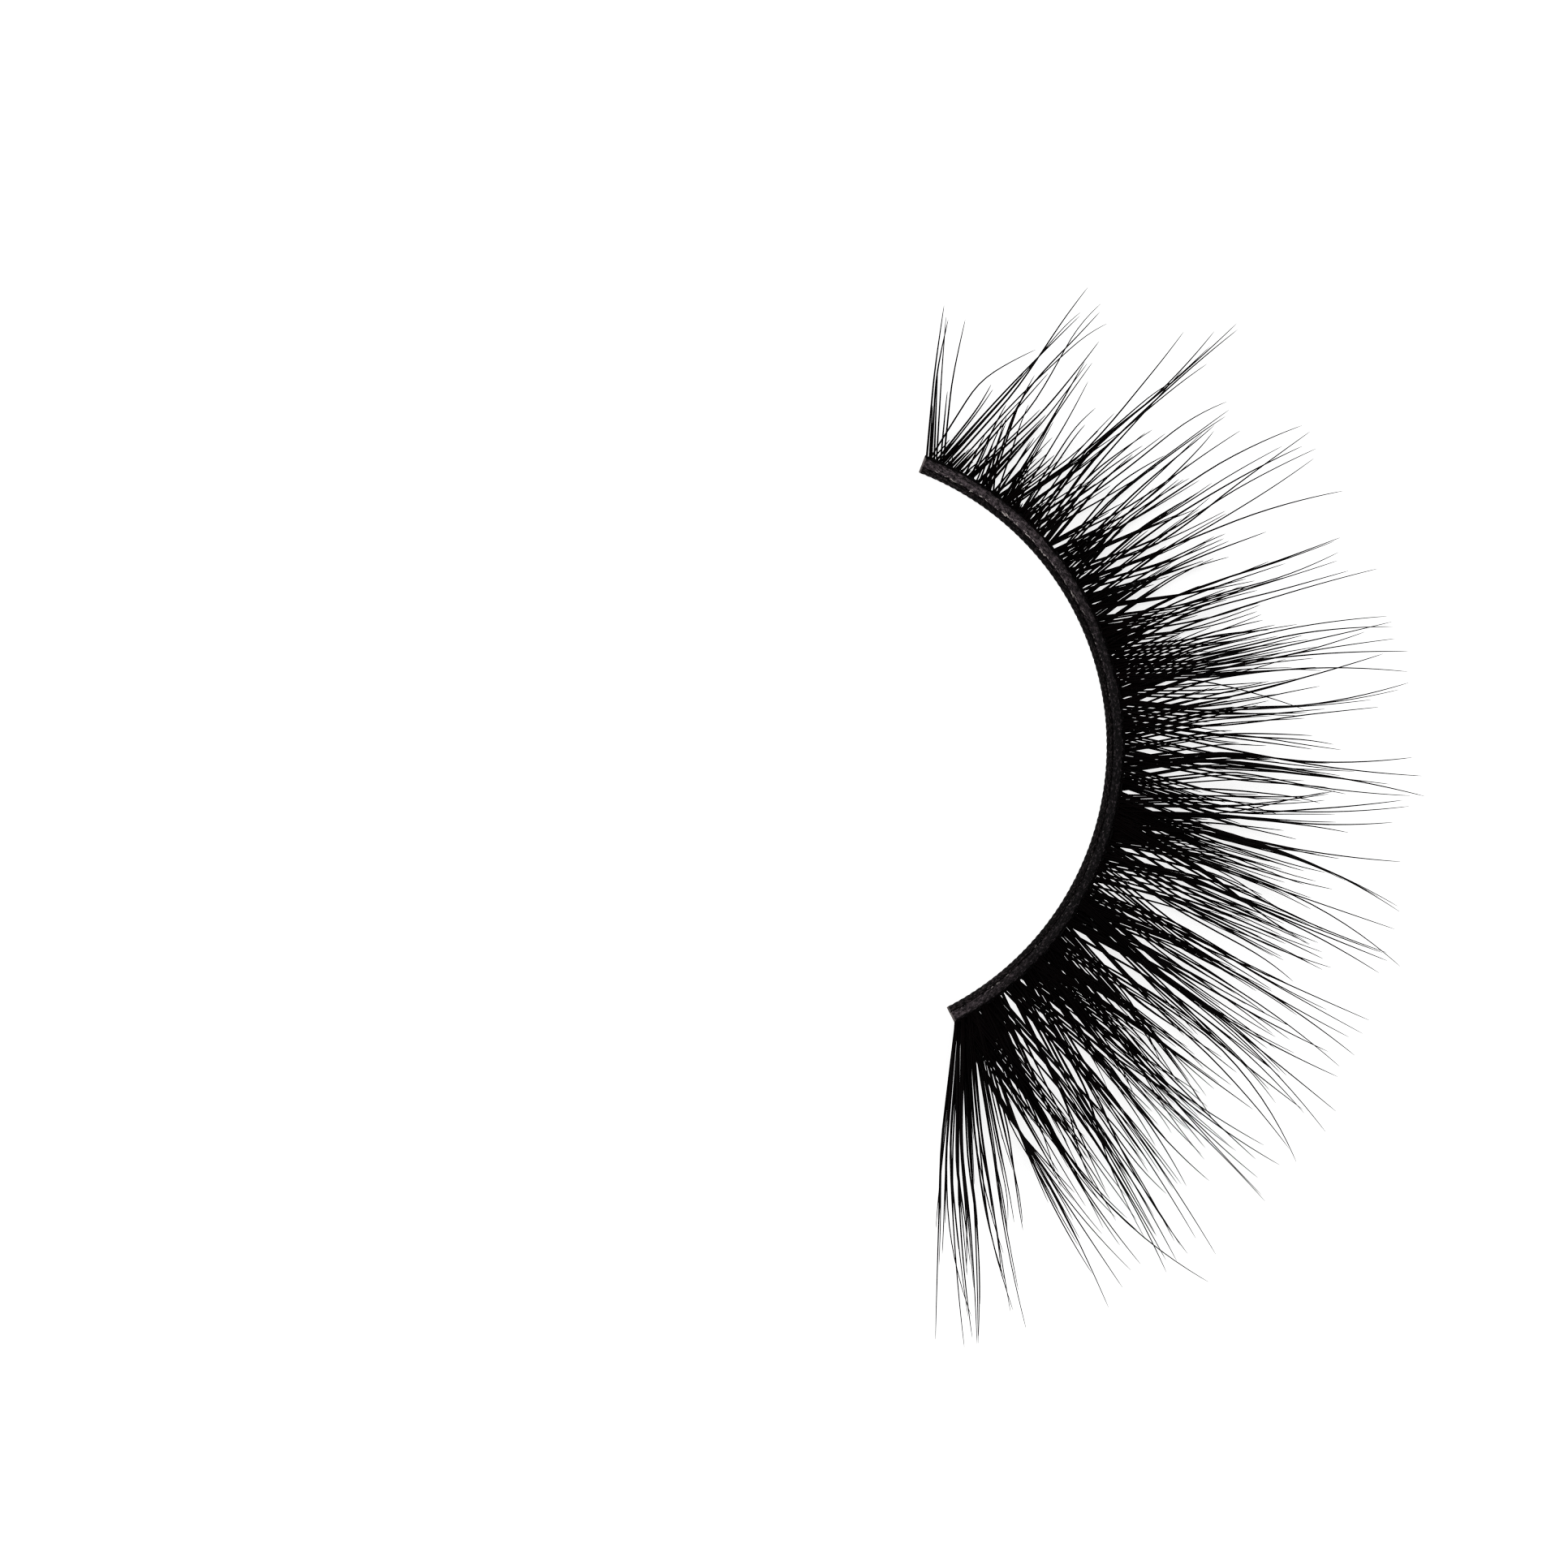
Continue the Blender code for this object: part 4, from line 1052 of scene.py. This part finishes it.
def plan_paths(rows):
    """Paths on the flat plan, hair by station.

    With f, s and t the shares of the three legs already passed, a point is
    root + f leg1 + s leg2 + t leg3, plus bows of s (1 - s) and t (1 - t) towards the way the
    leg before ran. Each station is the weighted mean of the points within SMOOTHING per
    cent of the reach on either side.
    """
    root, low, mid, end, end_reach, own, tightest = (rows[:, [k]] for k in range(ROOT, TIGHTEST + 1))
    reach = ROOT_REACH + (own - ROOT_REACH) * station_shares(STATIONS)
    charted = ((root, ROOT_REACH + 0 * own), (low, tightest), (mid, MID_REACH + 0 * own), (end, end_reach))
    corners = []
    for place, distance in charted:
        corners.append(np.stack(on_arc(place, INNER_RADIUS + distance / 100 * FULL_REACH), axis=-1))
    leg = [after - before for before, after in zip(corners, corners[1:])]
    size = [np.linalg.norm(each, axis=-1, keepdims=True) for each in leg]
    bow = [leg[k] * size[k + 1] / size[k] - leg[k + 1] for k in (0, 1)]
    offsets = np.linspace(-SMOOTHING, SMOOTHING, SMOOTHING_STEPS)
    weights = np.cos(offsets / SMOOTHING * math.pi / 2) ** 2 + LEAST_WEIGHT
    weights /= weights.sum()
    path = 0
    for offset, weight in zip(offsets, weights):
        at = reach + offset
        first = np.minimum((at - ROOT_REACH) / (tightest - ROOT_REACH), 1)[..., None]
        second = np.clip((at - tightest) / (MID_REACH - tightest), 0, 1)[..., None]
        third = np.maximum((at - MID_REACH) / (end_reach - MID_REACH), 0)[..., None]
        legs = first * leg[0] + second * leg[1] + third * leg[2]
        bows = SWEEP[0] * bow[0] * second * (1 - second) + SWEEP[1] * bow[1] * third * (1 - third)
        path = path + weight * (corners[0] + legs + bows)
    return path


# %% Height and curl
LAYER_NAMES = ("lash_layer_lower", "lash_layer_middle", "lash_layer_upper")
LONGEST_REACH = 16.5
LAYER_RISE = np.array((0.05, 0.13, 0.21))
LAYER_LIFT = np.array((0.26, 0.27, 0.28)) * LONGEST_REACH * MM
CURL_POWER = 3.0
BACKING_HALF = 0.07 * MM
LAYER_ROOT = np.array([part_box(name)[0][2] for name in LAYER_NAMES]) + BACKING_HALF
HAIR_RADIUS = 0.048 * MM
RISE_STRAY = 0.018
LIFT_RANGE = (0.86, 1.06)
ABOVE_SOLIDS = 0.2 * MM


def raise_paths(plan, rows):
    """Adds the height: start + rise x out + lift x (out / full reach) cubed, by the hair's layer.

    No hair goes through the floor, or more than ABOVE_SOLIDS above the solids.
    """
    layer = rows[:, LAYER].astype(int)
    count = len(rows)
    from_centre = np.hypot(plan[..., 0], plan[..., 1] - CENTRE_Y)
    out = np.maximum(from_centre - (INNER_RADIUS + ROOT_REACH / 100 * FULL_REACH), 0)
    rise = (LAYER_RISE[layer] + rng.normal(0, RISE_STRAY, count))[:, None]
    lift = (LAYER_LIFT[layer] * rng.uniform(*LIFT_RANGE, count))[:, None]
    start = (LAYER_ROOT[layer] + rng.uniform(-0.5, 0.5, count) * BACKING_HALF)[:, None]
    height = start + rise * out + lift * (out / FULL_REACH) ** CURL_POWER
    height = np.minimum(np.maximum(height, HAIR_RADIUS), CAD_HIGH[2] + ABOVE_SOLIDS)
    nearer = 1.0 - height / CAMERA_HEIGHT
    x = VIEW_CENTRE.x + (plan[..., 0] - VIEW_CENTRE.x) * nearer
    y = VIEW_CENTRE.y + (plan[..., 1] - VIEW_CENTRE.y) * nearer
    return np.stack((x, y, height), axis=-1)


paths = raise_paths(plan_paths(rows), rows)
lengths = np.linalg.norm(np.diff(paths, axis=1), axis=2).sum(axis=1)
print("longest hair", round(float(lengths.max() / MM), 1), "mm")

# %% [markdown]
# ## Hairs as tubes
# Each hair is a tube of four sides that thins to a point, with its ends closed. Shaded
# smooth, four sides look round at this size, and a whole layer stays light enough to
# keep. Blender's own hair curves would be lighter still, but a mesh keeps its shape in
# any other program. All the tubes of a layer are one mesh, built in one go.

# %% Hair tubes
HAIR_SIDES = 4
TAPER = 0.42
TIP_RADIUS = 0.005 * MM
WIDTH_RANGE = (0.85, 1.15)


def unit(vectors):
    """Each vector divided by its length."""
    return vectors / np.linalg.norm(vectors, axis=-1, keepdims=True)


def hair_tubes(name, paths, width, material):
    """Four-sided tubes: at each station a ring square to the path.

    The ring's radius runs from the hair's own width to the tip's as (1 - share) to the
    power TAPER.
    """
    count, stations = paths.shape[:2]
    radius = TIP_RADIUS + (width[:, None] - TIP_RADIUS) * (1 - station_shares(stations)) ** TAPER
    ahead = unit(np.gradient(paths, axis=1))
    side = unit(np.cross(ahead, (0.0, 0.0, 1.0)))
    top = np.cross(side, ahead)
    turn = np.arange(HAIR_SIDES) * 2 * math.pi / HAIR_SIDES
    ring = side[:, :, None] * np.cos(turn)[:, None] + top[:, :, None] * np.sin(turn)[:, None]
    points = paths[:, :, None] + radius[..., None, None] * ring
    here = np.arange(HAIR_SIDES)
    after = (here + 1) % HAIR_SIDES
    row = np.arange(stations - 1)[:, None] * HAIR_SIDES
    corners = (row + here, row + HAIR_SIDES + here, row + HAIR_SIDES + after, row + after)
    last = (stations - 1) * HAIR_SIDES
    caps = [[0, 1, 2, 3], [last + 3, last + 2, last + 1, last]]
    tube = np.concatenate((np.stack(corners, axis=-1).reshape(-1, 4), caps))
    quads = (np.arange(count)[:, None, None] * stations * HAIR_SIDES + tube).reshape(-1, 4)
    return piece_from(name, points.reshape(-1, 3), quads, material)


for layer, node in enumerate(LAYER_NAMES):
    chosen = rows[:, LAYER] == layer
    width = HAIR_RADIUS * rng.uniform(*WIDTH_RANGE, chosen.sum())
    hairs = hair_tubes(node.replace("lash_layer", "hairs"), paths[chosen], width, HAIR)
    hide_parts(node)

# %% [markdown]
# ## The bound roots
# Between the tape and the open hairs the roots lie packed in glue, a dark ridge with the
# hairs showing through as fine ribs. It stands for the three backings. Modelling every
# root in the glue would show no more than the ribs do.

# %% Root ridge
RIDGE_INNER = TAPE_OUTER - 0.03 * MM
RIDGE_WIDTH = 0.12 * MM
RIDGE_HEIGHT = float(LAYER_ROOT[-1])
RIDGE_SQUARENESS = 0.6
RIDGE_UNEVEN = 0.25
RIBS = 210
RIB_WANDER = 3.0
RIB_DEPTH = 0.14


def ridge_profile(along, round_):
    """A low rounded mound whose skin is ribbed across: 1 - depth (1 + sin(ribs along + wander)) / 2."""
    turn = 2 * math.pi * RIBS * along + RIB_WANDER * uneven(along, 0.9, (23, 41, 67))
    ribs = 1.0 - RIB_DEPTH * (0.5 + 0.5 * np.sin(turn))
    spread = 1.0 + RIDGE_UNEVEN * uneven(along, 2.3, (37, 59, 113))
    out = RIDGE_INNER + RIDGE_WIDTH * spread * (0.5 + 0.5 * np.cos(round_)) * ribs
    squared = np.sign(np.sin(round_)) * np.abs(np.sin(round_)) ** RIDGE_SQUARENESS
    return out, RIDGE_HEIGHT / 2 * (1 + squared * ribs)


ridge = band_sweep("bound_roots", ridge_profile, steps=1000, sides=12, material=BOUND_ROOTS)
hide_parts(*LAYER_NAMES)
